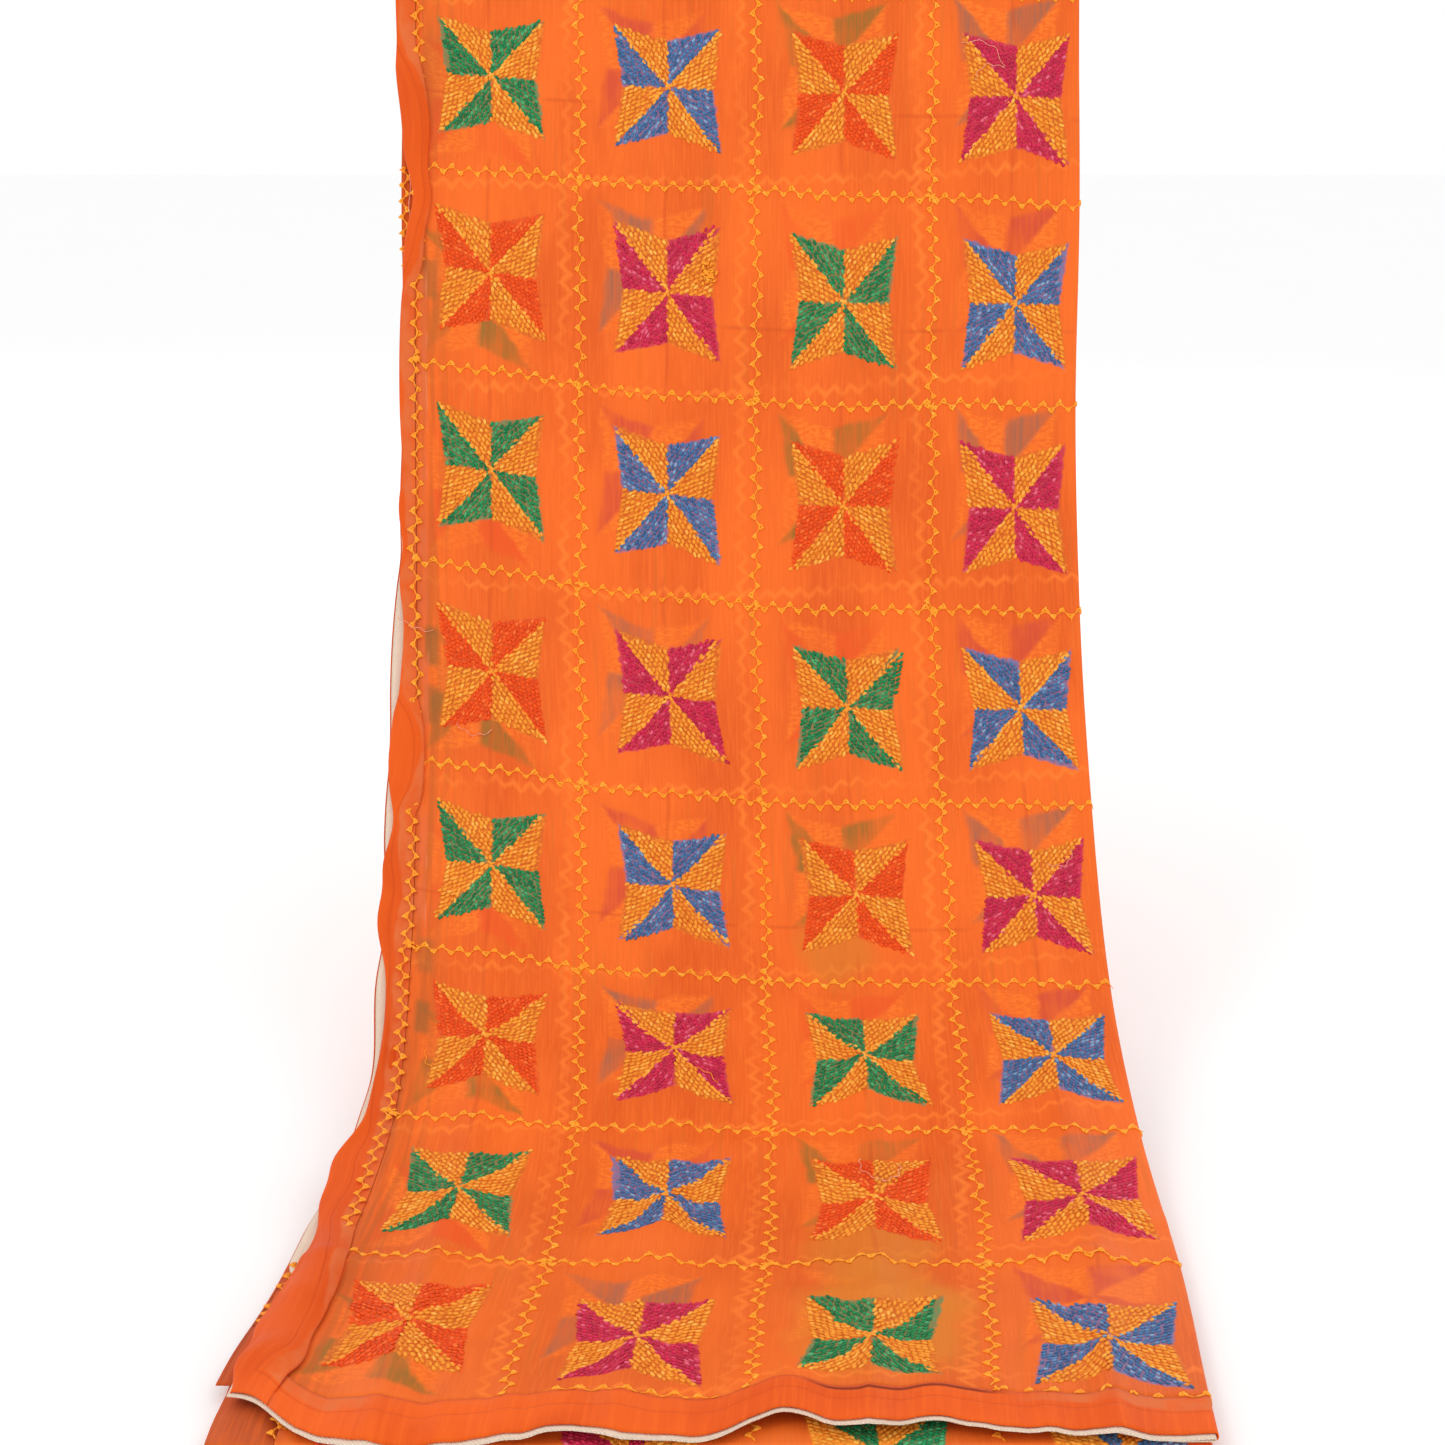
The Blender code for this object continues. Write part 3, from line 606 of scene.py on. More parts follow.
def make_skin(name, middle, flat, thickness=SKIN, normal=None):
    """Closed skin about a grid of points; flat holds each point's place on the flat cloth."""
    rows, columns = middle.shape[:2]
    if normal is None:
        normal = cloth_normals(middle)
    upper = (middle + normal * thickness / 2).reshape(-1, 3)
    lower = (middle - normal * thickness / 2).reshape(-1, 3)
    count = rows * columns
    corner = np.arange(count).reshape(rows, columns)
    a, b = corner[:-1, :-1].ravel(), corner[:-1, 1:].ravel()
    c, d = corner[1:, 1:].ravel(), corner[1:, :-1].ravel()
    top = np.stack([a, b, c, d], axis=1)
    under = np.stack([d, c, b, a], axis=1) + count
    rim = np.concatenate([corner[0], corner[1:, -1], corner[-1, -2::-1], corner[-2:0:-1, 0]])
    after = np.roll(rim, -1)
    edge = np.stack([rim, rim + count, after + count, after], axis=1)
    faces = np.concatenate([top, under, edge])
    mesh = bpy.data.meshes.new(name)
    mesh.from_pydata(np.concatenate([upper, lower]).tolist(), [], faces.tolist())
    shape = bmesh.new()
    shape.from_mesh(mesh)
    bmesh.ops.recalc_face_normals(shape, faces=shape.faces)
    shape.to_mesh(mesh)
    shape.free()
    places = np.concatenate([flat.reshape(-1, 2)] * 2)
    corners = np.empty(len(mesh.loops), dtype=np.int32)
    mesh.loops.foreach_get("vertex_index", corners)
    layer = mesh.uv_layers.new(name="cloth")
    layer.data.foreach_set("uv", places[corners].astype(np.float32).ravel())
    mesh.shade_smooth()
    made = bpy.data.objects.new(name, mesh)
    bpy.context.scene.collection.objects.link(made)
    print(name, "has", 2 * len(faces), "triangles")
    return made


def grid_of(lines, places):
    """Lines of points and their flat places, joined into one grid."""
    middle = np.stack(lines, axis=1)
    flat = np.stack([np.stack([0 * v + u, v], axis=-1) for u, v in places], axis=1)
    return middle, flat


# %% Rows shared by neighbouring pieces
front_rows = np.concatenate([np.linspace(SEAM / 2, 0.03, 12)[:-1],
                             np.linspace(0.03, FRONT_END - SEAM / 2, 232)])
hem_end = FRONT_END + BORDER
front_hem_rows = np.linspace(FRONT_END + SEAM / 2, hem_end, 13)
rear_rows = np.concatenate([
    np.linspace(SEAM / 2, 0.036, 12)[:-1],
    np.linspace(0.036, REAR_BEND_START - 0.002, 110)[:-1],
    np.linspace(REAR_BEND_START - 0.002, REAR_BEND_START + math.pi * BEND_RADIUS, 14)[:-1],
    np.linspace(REAR_BEND_START + math.pi * BEND_RADIUS, REAR_END - SEAM / 2, 14)])
rear_hem_rows = np.linspace(REAR_END + SEAM / 2, REAR_END + BORDER, 4)
print("front rows", len(front_rows), "rear rows", len(rear_rows))

# %% [markdown]
# ## The ground cloth
# One skin runs across the front layer, round the lengthwise fold and back across the layer
# behind. The front layer is finely divided because its crinkles show; the hidden layer is coarse.

# %% Front half of the ground cloth
U_TURN = FRONT_WIDTH - math.pi * FOLD_RADIUS / 2
FOLD_ANGLES = np.radians([0, 30, 60, 90, 120, 150, 180])


def front_half(rows, fine):
    lines, places = [], []
    for u in np.linspace(U_GRID + SEAM / 2, U_TURN - 0.001, fine):
        lines.append(front_layer(np.full_like(rows, u), rows))
        places.append((u, rows))
    for angle in FOLD_ANGLES:
        lines.append(front_fold(angle, rows))
        places.append((U_TURN + angle * FOLD_RADIUS, rows))
    for u in np.linspace(BACK_WIDTH - math.pi * FOLD_RADIUS / 2 - 0.002, U_GRID + SEAM / 2, 36):
        lines.append(back_layer(np.full_like(rows, u), rows))
        places.append((CLOTH_WIDTH - u, rows))
    return grid_of(lines, places)


front_cloth = make_skin("front_cloth", *front_half(front_rows, 112))

# %% Rear half of the ground cloth


def rear_half(rows, fine):
    lines, places = [], []
    for u in np.linspace(U_GRID + SEAM / 2, REAR_FLAT_WIDTH - 0.002, fine):
        lines.append(rear_layer(np.full_like(rows, u), rows, False))
        places.append((CLOTH_WIDTH - u, rows))
    for angle in FOLD_ANGLES[::-1]:
        lines.append(rear_fold(angle, rows))
        places.append((FRONT_WIDTH + 0.002 - (math.pi - angle) * REAR_FOLD_RADIUS, rows))
    for u in np.linspace(REAR_FLAT_WIDTH - 0.002, U_GRID + SEAM / 2, fine):
        lines.append(rear_layer(np.full_like(rows, u), rows, True))
        places.append((u, rows))
    return grid_of(lines, places)


rear_cloth = make_skin("rear_cloth", *rear_half(rear_rows, 40))

# %% [markdown]
# ## Border bands, hem and tape
# A plain band is sewn round the cloth. Along the open side the front band is turned behind itself,
# and in places rolls in over the cloth first, and the band of the layer behind peeks out past it.
# At the bottom the hem is folded double with the cloth, and a cream tape sewn inside it comes out
# as a thin light line.

# %% Long bands of the front half


def band_places(flat, count):
    inner = [flat * t for t in np.linspace(0, 1, count)]
    inner[0] = np.full_like(flat, SEAM / 2)
    bend = math.pi * CURL_RADIUS
    turned = [np.minimum(flat + bend * t, BORDER - 0.0016 + 0.0016 * t)
              for t in (0.17, 0.33, 0.5, 0.67, 0.83, 1.0)]
    return inner + turned + [np.full_like(flat, BORDER + 0.0006)]


def rolled_places(parts):
    """Places across the rolled band: a few on each of its parts, never closer than a hair."""
    start, found = 0.0 * parts[0], []
    for part, count in zip(parts, (3, 4, 9, 7)):
        found = found + [start + part * t for t in np.linspace(0, 1, count, endpoint=False)]
        start = start + part
    found = found + [start, np.maximum(start + 0.001, BORDER + 0.0006)]
    found[0] = found[0] + SEAM / 2
    for k in range(1, len(found)):
        found[k] = np.maximum(found[k], found[k - 1] + 0.00025)
    return found


def front_band(rows):
    """The band goes in over the cloth, turns, comes back out over itself and tucks behind."""
    lines, places = [], []
    flat, cover, puff = eased(EDGES, 1, rows), eased(ROLL, 1, rows), eased(ROLL, 2, rows)
    cover = np.maximum(cover, 0.0)
    covered = np.minimum(cover / 0.003, 1.0)
    turn = np.maximum(0.0009 * covered, 1e-6)
    under = 0.0012 * covered
    curl = CURL_RADIUS + under / 2 + turn
    parts = [cover, math.pi * turn, cover + flat, math.pi * curl]
    for across in rolled_places(parts):
        one = np.clip(across, 0.0, parts[0])
        two = np.clip(across - parts[0], 0.0, parts[1]) / turn
        three = np.clip(across - parts[0] - parts[1], 0.0, parts[2])
        rest = np.maximum(across - parts[0] - parts[1] - parts[2], 0.0)
        four = np.minimum(rest / curl, math.pi)
        back = np.maximum(rest - parts[3], 0.0)
        out = three - one - turn * np.sin(two) + curl * np.sin(four) - back
        rise = under * ease(one / np.maximum(cover, 1e-6)) + turn * (1 - np.cos(two))
        swell = puff * np.sin(math.pi * np.clip(three / parts[2], 0.0, 1.0)) ** 0.7
        swell = swell * (1 + 0.45 * np.sin(rows * 61.0 + 2.0 * np.sin(rows * 23.0)))
        out = out + 0.0011 * np.sin(rows * 83.0 + 2.0 * np.sin(rows * 29.0)) * ease(across / 0.006)
        u = U_GRID - out
        n = front_height(np.maximum(u, U_GRID), rows) + rise + swell - curl * (1 - np.cos(four))
        lines.append(on_path(FRONT_PATH, grid_x(rows) - out, path_length(u, rows), n))
        places.append((U_GRID - across, rows))
    return grid_of(lines, places)


def back_band(rows):
    lines, places = [], []
    flat = eased(EDGES, 3, rows)
    for across in band_places(flat, 9):
        out, depth = tucked_border(across, flat)
        lines.append(back_border_line(rows, out, depth))
        places.append((CLOTH_WIDTH - U_GRID + across, rows))
    return grid_of(lines, places)


edge_rows = np.concatenate([front_rows, front_hem_rows])
front_edge_band = make_skin("front_edge_band", *front_band(edge_rows))
back_edge_band = make_skin("back_edge_band", *back_band(edge_rows))

# %% Hem of the front half, with the tape inside it
taped = np.append(front_hem_rows, hem_end + TAPE_SHOWS)
hem_middle, hem_flat = front_half(taped, 112)
hem_normal = cloth_normals(hem_middle)
front_hem_band = make_skin("front_hem_band", hem_middle[:-1], hem_flat[:-1],
                           normal=hem_normal[:-1])
tape_rows = int(np.argmax(taped > hem_end - TAPE_WIDTH))
corner_lines, corner_places = [], []
for u in np.linspace(U_GRID - 0.0195, U_GRID - 0.0012, 9):
    corner_lines.append(front_layer(np.full_like(taped, u), taped))
    corner_places.append((u, taped))
corner_middle, corner_flat = grid_of(corner_lines, corner_places)
long_middle = np.concatenate([corner_middle, hem_middle], axis=1)
long_flat = np.concatenate([corner_flat, hem_flat], axis=1)
long_normal = cloth_normals(long_middle)
tape_middle = (long_middle + (WALL + SEAM) * long_normal)[tape_rows:]
hem_tape = make_skin("hem_tape", tape_middle, long_flat[tape_rows:],
                     normal=long_normal[tape_rows:])

# %% Tape along the open side
side_rows = edge_rows[edge_rows > 0.425]
side_lines, side_places = [], []
curled_in = 0.011 * ease((side_rows - 0.950) / 0.035)
for out in np.linspace(BORDER - TAPE_WIDTH, BORDER - 0.0004, 5):
    side_lines.append(back_border_line(side_rows, out - curled_in, -(WALL + SEAM)))
    side_places.append((CLOTH_WIDTH - U_GRID + out, side_rows))
side_tape = make_skin("side_tape", *grid_of(side_lines, side_places))

# %% Bands of the rear half


def rear_band(rows, outer):
    lines, places = [], []
    for u in np.linspace(0.0, U_GRID - SEAM / 2, 5):
        lines.append(rear_layer(np.full_like(rows, u), rows, outer))
        places.append((u if outer else CLOTH_WIDTH - u, rows))
    return grid_of(lines, places)


rear_edge_rows = np.concatenate([rear_rows, rear_hem_rows])
rear_inner_band = make_skin("rear_inner_band", *rear_band(rear_edge_rows, False))
rear_outer_band = make_skin("rear_outer_band", *rear_band(rear_edge_rows, True))
rear_hem_band = make_skin("rear_hem_band", *rear_half(rear_hem_rows, 40))

# %% [markdown]
# ## The rod
# A plain turned rod. The solid has 24 flat sides, which is enough for a simulation, so a rounder
# one with softly eased ends stands in for it here.

# %% Rod
rod_mesh = bpy.data.meshes.new("turned_rod")
rod_shape = bmesh.new()
bmesh.ops.create_cone(rod_shape, cap_ends=True, segments=64, radius1=ROD_RADIUS,
                      radius2=ROD_RADIUS, depth=ROD_LENGTH)
ends = [edge for edge in rod_shape.edges if abs(edge.verts[0].co.z - edge.verts[1].co.z) < 1e-6]
bmesh.ops.bevel(rod_shape, geom=ends, offset=0.0012, segments=3, affect="EDGES")
for corner in rod_shape.verts:
    corner.co = Vector((corner.co.z, corner.co.x, corner.co.y))
bmesh.ops.recalc_face_normals(rod_shape, faces=rod_shape.faces)
rod_shape.to_mesh(rod_mesh)
rod_shape.free()
rod_mesh.shade_smooth()
turned_rod = bpy.data.objects.new("turned_rod", rod_mesh)
bpy.context.scene.collection.objects.link(turned_rod)
print("rod faces:", len(rod_mesh.polygons))

# %% [markdown]
# ## Working with shader values as plain sums
# A pattern is a sum worked out at every point of the surface. Nodes can do it, but long chains
# of Math nodes are hard to read. This small class wraps a socket, so that `1 - mask * 2` adds the
# nodes for us.

# %% Wires


class Wire:
    def __init__(self, tree, socket=None):
        self.tree = tree
        self.socket = socket

    def node(self, kind, settings=None, sockets=None, out=0):
        """Add a node: its settings first, then the values or wires of its sockets."""
        made = self.tree.nodes.new(kind)
        for name, value in (settings or {}).items():
            if name == "stops":
                while len(made.color_ramp.elements) < len(value):
                    made.color_ramp.elements.new(0.5)
                for stop, (place, colour) in zip(made.color_ramp.elements, value):
                    stop.position = place
                    stop.color = colour
            else:
                setattr(made, name, value)
        for name, value in (sockets or {}).items():
            if isinstance(value, Wire):
                self.tree.links.new(value.socket, made.inputs[name])
            else:
                made.inputs[name].default_value = value
        return Wire(self.tree, made.outputs[out])

    def sum(self, operation, *values):
        return self.node("ShaderNodeMath", {"operation": operation}, dict(enumerate(values)))

    def __add__(self, other):
        return self.sum("ADD", self, other)

    def __radd__(self, other):
        return self.sum("ADD", other, self)

    def __sub__(self, other):
        return self.sum("SUBTRACT", self, other)

    def __rsub__(self, other):
        return self.sum("SUBTRACT", other, self)

    def __mul__(self, other):
        return self.sum("MULTIPLY", self, other)

    def __rmul__(self, other):
        return self.sum("MULTIPLY", other, self)

    def __truediv__(self, other):
        return self.sum("DIVIDE", self, other)

    def __gt__(self, other):
        return self.sum("GREATER_THAN", self, other)

    def __mod__(self, other):
        return self.sum("FLOORED_MODULO", self, other)

    def __abs__(self):
        return self.sum("ABSOLUTE", self)

    def __floor__(self):
        return self.sum("FLOOR", self)

    def smooth(self, low, high):
        """0 below low, 1 above high, soft between; low may be the larger one."""
        return self.node("ShaderNodeMapRange", {"interpolation_type": "SMOOTHSTEP"},
                         {0: self, 1: low, 2: high})

    def mix(self, first, second):
        """Colour first where this wire is 0, second where it is 1."""
        return self.node("ShaderNodeMix", {"data_type": "RGBA"},
                         {0: self, 6: first, 7: second}, 2)

    def noise(self, x_scale, y_scale, detail=2.0, rough=0.5):
        """Noise on this place, stretched by its own scale each way."""
        place = self.node("ShaderNodeMapping", {}, {0: self, 3: (x_scale, y_scale, x_scale)})
        return self.node("ShaderNodeTexNoise", {},
                         {"Vector": place, "Scale": 1.0, "Detail": detail, "Roughness": rough})


def colour(red, green, blue):
    """Colour as seen on a screen, 0 to 255, as Blender's linear values."""
    shown = [c / 255 for c in (red, green, blue)]
    linear = [c / 12.92 if c <= 0.04045 else ((c + 0.055) / 1.055) ** 2.4 for c in shown]
    return (*linear, 1.0)


def start_material(name):
    material = bpy.data.materials.new(name)
    material.use_nodes = True
    shader = material.node_tree.nodes["Principled BSDF"]
    return material, shader, Wire(material.node_tree)


def cloth_place(wire):
    """The flat place on the cloth, whole and as u and v."""
    place = wire.node("ShaderNodeUVMap", {"uv_map": "cloth"})
    u = place.node("ShaderNodeSeparateXYZ", {}, {0: place}, 0)
    v = place.node("ShaderNodeSeparateXYZ", {}, {0: place}, 1)
    return place, u, v


def plug(wire, shader, name):
    wire.tree.links.new(wire.socket, shader.inputs[name])


def bump_from(height, distance, strength):
    return height.node("ShaderNodeBump", {}, {"Height": height, "Distance": distance,
                                              "Strength": strength})


print("a thread orange in linear values:", [round(c, 3) for c in colour(240, 84, 20)])

# %% [markdown]
# ## Where the stars are
# Each star fills one square of the grid. Seen flat it is a square whose sides pull in, cut into
# eight triangles, every second one golden and the others in one colour. The colours run in a
# fixed order that swaps from row to row. The third and fourth columns are mirrored.

# %% Sizes of the stars
STAR_U = (0.076, 0.184, 0.292, 0.397)
CORNER_U, CORNER_V = 0.0325, 0.0400
SIDE_U, SIDE_V = 0.0276, 0.0307
GOLD = colour(255, 166, 52)
GREEN = colour(44, 146, 96)
BLUE = colour(76, 122, 178)
MAGENTA = colour(205, 34, 92)
FLAME = colour(240, 84, 20)
FRONT_ORDER = (("flame", "magenta", "green", "blue"), ("green", "blue", "flame", "magenta"))
BACK_ORDER = (("green", "blue", "flame", "magenta"), ("flame", "magenta", "green", "blue"))
THREADS = {"gold": GOLD, "green": GREEN, "blue": BLUE, "magenta": MAGENTA, "flame": FLAME}
NO_SHIFT = (0, 0, 0, 0)
LAST_ROW = (0.0, 0.0135, 0.0150, 0.0165)   # how far each column's last star has slipped along
LAST_ROW_START = 7.62                      # in rows
FIRST_LINE = [
    # along, shift across: the first lengthwise line runs out over the band low down
    (0.000, 0.0012),
    (0.300, 0.0008),
    (0.440, -0.0002),
    (0.500, -0.0010),
    (0.580, -0.0016),
    (0.680, -0.0026),
    (0.830, -0.0036),
    (0.900, -0.0052),
    (0.960, -0.0056),
    (1.020, -0.0030),
    (1.110, 0.0000),
]
print("stars across:", len(STAR_U), "row height:", ROW)

# %% [markdown]
# ## Ground cloth finish
# The cloth is sheer: the star of the layer behind shows through as a dull patch a little off the
# front one, and its wavy lines as paler ones. Making the skin see-through would do this too, but a
# see-through layer sorts badly in other programs, so the ghost is drawn into the cloth's colour.

# %% Star mask for shaders


def star_masks(u, v, places, shifts, mirrored_first, soft=0.0008, last=NO_SHIFT):
    """Inside the star (0 to 1), on a coloured triangle, odd row, third or fourth column, and
    second column of a pair, for stars at these places, each column shifted along by its shift
    and its last star by one more."""
    second = u > (places[0] + places[1]) / 2
    third = u > (places[1] + places[2]) / 2
    fourth = u > (places[2] + places[3]) / 2
    centre = places[0] + second * (places[1] - places[0]) + third * (places[2] - places[1])
    centre = centre + fourth * (places[3] - places[2])
    shift = shifts[0] + second * (shifts[1] - shifts[0]) + third * (shifts[2] - shifts[1])
    shift = shift + fourth * (shifts[3] - shifts[2])
    more = last[0] + second * (last[1] - last[0]) + third * (last[2] - last[1])
    more = more + fourth * (last[3] - last[2])
    shift = shift + more * (v > LAST_ROW_START * ROW)
    du = u - centre
    row = math.floor((v - shift) / ROW + 0.5)
    dv = v - shift - row * ROW
    x, y = abs(du), abs(dv)
    side = (x - y * (CORNER_U / CORNER_V)).smooth(-soft, soft)
    side_limit = SIDE_U + y * ((CORNER_U - SIDE_U) / CORNER_V)
    top_limit = SIDE_V + x * ((CORNER_V - SIDE_V) / CORNER_U)
    inside_side = (side_limit - x).smooth(-soft, soft)
    inside_top = (top_limit - y).smooth(-soft, soft)
    inside = side * inside_side + (1 - side) * inside_top
    same_sign = du.smooth(-soft, soft)
    same_sign = 1 - abs(same_sign - dv.smooth(-soft, soft))
    mirrored = abs(third - (1.0 if mirrored_first else 0.0))
    coloured = abs(abs(side - same_sign) - (1 - mirrored))
    odd = 1 - (row % 2.0)
    return inside, coloured, odd, third, second * (1 - third) + fourth


def star_colour(odd, third, pair_second, cool_first, colours):
    """Colour of the coloured triangles, from the four thread colours."""
    cool = abs(abs(odd - third) - (1.0 if cool_first else 0.0))
    cool_colour = pair_second.mix(colours["green"], colours["blue"])
    warm_colour = pair_second.mix(colours["flame"], colours["magenta"])
    return cool.mix(warm_colour, cool_colour)


# %% Ground cloth material
ORANGE = colour(241, 106, 28)
DEEP = colour(222, 90, 21)
LIGHT = colour(253, 120, 38)
GHOSTS = {"green": colour(142, 104, 36), "blue": colour(158, 98, 72),
          "magenta": colour(206, 72, 48), "flame": colour(234, 84, 26)}
GHOST_U = (0.0684, 0.174, 0.2857, 0.392)
GHOST_SHIFT = (0.017, -0.0107, -0.017, -0.022)
STAINS = [
    # across, along, half width, strength
    (0.292, 0.925, 0.038, 0.58),
    (0.296, 1.010, 0.050, 0.72),
    (0.280, 0.668, 0.026, 0.50),
]
BLOTS = [
    # along, strength: dull spots beside the first lengthwise line
    (0.495, 0.7),
    (0.532, 0.6),
    (0.262, 0.5),
    (0.745, 0.6),
    (0.700, 0.4),
]


def weave_height(place):
    """Height of a crinkled fine weave, for a Bump node."""
    crinkled = place.noise(900, 60, 3.0) * 0.5 + place.noise(260, 40, 2.0)
    return crinkled + place.noise(1500, 1500) * 0.4


def ghost_lines(place, across, v):
    """How strongly the wavy lines of the layer behind show through, 0 to 1."""
    wander = (place.noise(22, 22, 1.0) - 0.5) * 0.014 + (place.noise(110, 110, 1.0) - 0.5) * 0.005
    wave = abs(((v / 0.0118) % 1.0) - 0.5) * 0.0092 - 0.0023
    shown = 0.0
    for line in (U_LINE_2, U_LINE_3, U_LINE_4):
        away = abs(across + wander - (line - 0.009) - wave)
        shown = away.smooth(0.0031, 0.0002) + shown
    cross = abs(((across / 0.0104) % 1.0) - 0.5) * 0.0092 - 0.0023
    slope = 0.014 - across * 0.085
    row_place = ((v + wander - slope - cross) / ROW) % 1.0
    return (abs(row_place - 0.5) * ROW).smooth(0.0031, 0.0002) + shown


def woven_orange(place, v):
    """The plain cloth: fine lengthwise threads, broad cloudiness and duller threads here and there."""
    fine = place.noise(760, 34, 3.0, 0.6)
    broad = place.noise(17, 6, 3.0)
    base = broad.smooth(0.36, 0.66).mix(ORANGE, DEEP)
    base = (fine.smooth(0.40, 0.75) * 0.45).mix(base, LIGHT)
    olive = place.noise(240, 12, 2.0).smooth(0.48, 0.78) * place.noise(20, 9, 1.0).smooth(0.44, 0.62)
    base = (olive * 0.34).mix(base, colour(190, 104, 34))
    lower = v.smooth(0.80, 0.96) * (0.6 + 0.4 * broad)
    return (lower * 0.26).mix(base, colour(206, 100, 38))


def with_ghosts(base, place, across, v, near):
    """The stars and lines of the layer behind, seen dimly through the cloth."""
    sway = (place.noise(60, 60, 2.0) - 0.5) * 0.0075
    inside, coloured, odd, third, second = star_masks(
        across + sway, v - sway * 0.8, GHOST_U, GHOST_SHIFT, True, 0.0024)
    patch = star_colour(odd, third, second, False, GHOSTS)
    seen = place.noise(34, 22, 2.0).smooth(0.32, 0.62)
    thread_rows = place.noise(260, 520, 1.0).smooth(0.38, 0.62)
    gold_patch = thread_rows.mix(colour(238, 106, 26), colour(254, 126, 34))
    patch = coloured.mix(gold_patch, patch)
    halo = star_masks(across, v, GHOST_U, GHOST_SHIFT, True, 0.012)[0]
    base = (halo * near * 0.26 * seen).mix(base, colour(206, 84, 26))
    streak = place.noise(520, 26, 2.0).smooth(0.36, 0.60)
    base = (inside * near * (0.32 + 0.54 * seen) * (0.62 + 0.38 * streak)).mix(base, patch)
    shown = ghost_lines(place, across, v) * (0.10 + 0.40 * seen)
    return (shown * near).mix(base, colour(255, 134, 46))


def with_stains(base, place, across, v, near):
    for spot_u, spot_v, wide, deep in STAINS:
        du, dv = (across - spot_u) / wide, (v - spot_v) / (1.35 * wide)
        away = (du * du + dv * dv) + (place.noise(26, 26, 3.0) - 0.5) * 1.1
        base = (away.smooth(1.15, 0.25) * near * deep).mix(base, colour(212, 128, 38))
    return base


def with_first_line(base, place, across, v, near):
    """Painted shade, dull spots, a paler strip and a painted highlight rim beside the first lengthwise
    line.
    """
    shadow = across.smooth(0.062, 0.034) * place.noise(240, 12, 2.0).smooth(0.36, 0.62)
    base = (shadow * near * 0.50).mix(base, colour(178, 88, 32))
    for spot_v, deep in BLOTS:
        blot = (across.smooth(0.0450, 0.0405) * across.smooth(0.0330, 0.0360)
                * abs(v - spot_v).smooth(0.015, 0.009))
        base = (blot * near * deep).mix(base, colour(140, 92, 40))
    beside = v.smooth(0.250, 0.270) * v.smooth(0.556, 0.540)
    beside = beside + v.smooth(0.592, 0.606) * v.smooth(0.690, 0.670)
    strip = across.smooth(0.0374, 0.0364) * place.noise(60, 26, 2.0).smooth(0.30, 0.62)
    base = (strip * near * beside * 0.7).mix(base, colour(222, 106, 58))
    # Painted highlight: a thin light rim along the edge of the paler strip.
    rim = abs(across + (place.noise(5, 24, 1.0) - 0.5) * 0.002 - 0.0370).smooth(0.0007, 0.0002)
    rim = rim * place.noise(40, 34, 1.0).smooth(0.42, 0.60)
    return (rim * near * beside * 0.4).mix(base, colour(240, 144, 104))


def with_crease_shading(base, place, across, v, near):
    """Painted shade: uneven dark hairlines along the creases where the cloth was pressed when folded
    for storage.
    """
    press = 0.0
    for line in PRESSED_ACROSS:
        bend = (place.noise(3, 13, 1.0) - 0.5) * 0.009
        press = abs(across + bend - line).smooth(0.0018, 0.0003) + press
    for line in PRESSED_ALONG:
        bend = (place.noise(9, 3, 1.0) - 0.5) * 0.006
        press = abs(v + bend - line).smooth(0.0020, 0.0003) + press
    press = press * place.noise(30, 24, 1.0).smooth(0.42, 0.60)
    return (press * near * 0.36).mix(base, colour(198, 72, 18))


def under_threads_and_gap_shade(base, place, across, v, near, last):
    """Colour between the stitches of a star, so that no clean cloth shows in its gaps; it is partly
    the threads' own colour and partly painted shade in the gaps.
    """
    jag = (place.noise(240, 240, 2.0) - 0.5) * 0.0044
    inside, coloured, odd, third, second = star_masks(
        across + jag, v - jag, STAR_U, NO_SHIFT, False, 0.0009, last)
    under = star_colour(odd, third, second, True, THREADS)
    speckle = place.noise(420, 420, 2.0).smooth(0.44, 0.60)
    # Painted shade: gaps under coloured stitches lean to dark orange, and under gold ones to a dull
    # orange.
    coloured_gap_with_shade = (0.58 + 0.34 * speckle).mix(colour(170, 64, 26), under)
    under = coloured.mix(speckle.mix(colour(208, 98, 24), colour(232, 132, 36)), coloured_gap_with_shade)
    return (inside * near * 0.88).mix(base, under)


def stars_of_the_far_side(base, place, across, v, far):
    """Flat stars on the far half of the width, most of which is hidden."""
    inside, coloured, odd, third, second = star_masks(across, v, STAR_U, NO_SHIFT, False)
    flat_star = coloured.mix(GOLD, star_colour(odd, third, second, False, THREADS))
    threads = place.noise(700, 700, 1.0).smooth(0.3, 0.6)
    return (inside * far * (0.55 + 0.4 * threads)).mix(base, flat_star)


def ground_material(name, ghosts):
    material, shader, wire = start_material(name)
    place, u, v = cloth_place(wire)
    far = u > U_MIDDLE
    near = 1 - far
    across = u * near + (CLOTH_WIDTH - u) * far
    base = woven_orange(place, v)
    if ghosts:
        for layer in (with_ghosts, with_stains, with_first_line, with_crease_shading):
            base = layer(base, place, across, v, near)
    base = under_threads_and_gap_shade(base, place, across, v, near, LAST_ROW if ghosts else NO_SHIFT)
    base = stars_of_the_far_side(base, place, across, v, far)
    plug(base, shader, "Base Color")
    shader.inputs["Roughness"].default_value = 0.62
    shader.inputs["Sheen Weight"].default_value = 0.06
    shader.inputs["Sheen Roughness"].default_value = 0.4
    shader.inputs["Sheen Tint"].default_value = colour(255, 170, 120)
    shader.inputs["Specular IOR Level"].default_value = 0.22
    plug(bump_from(weave_height(place), 0.0004, 0.55), shader, "Normal")
    return material


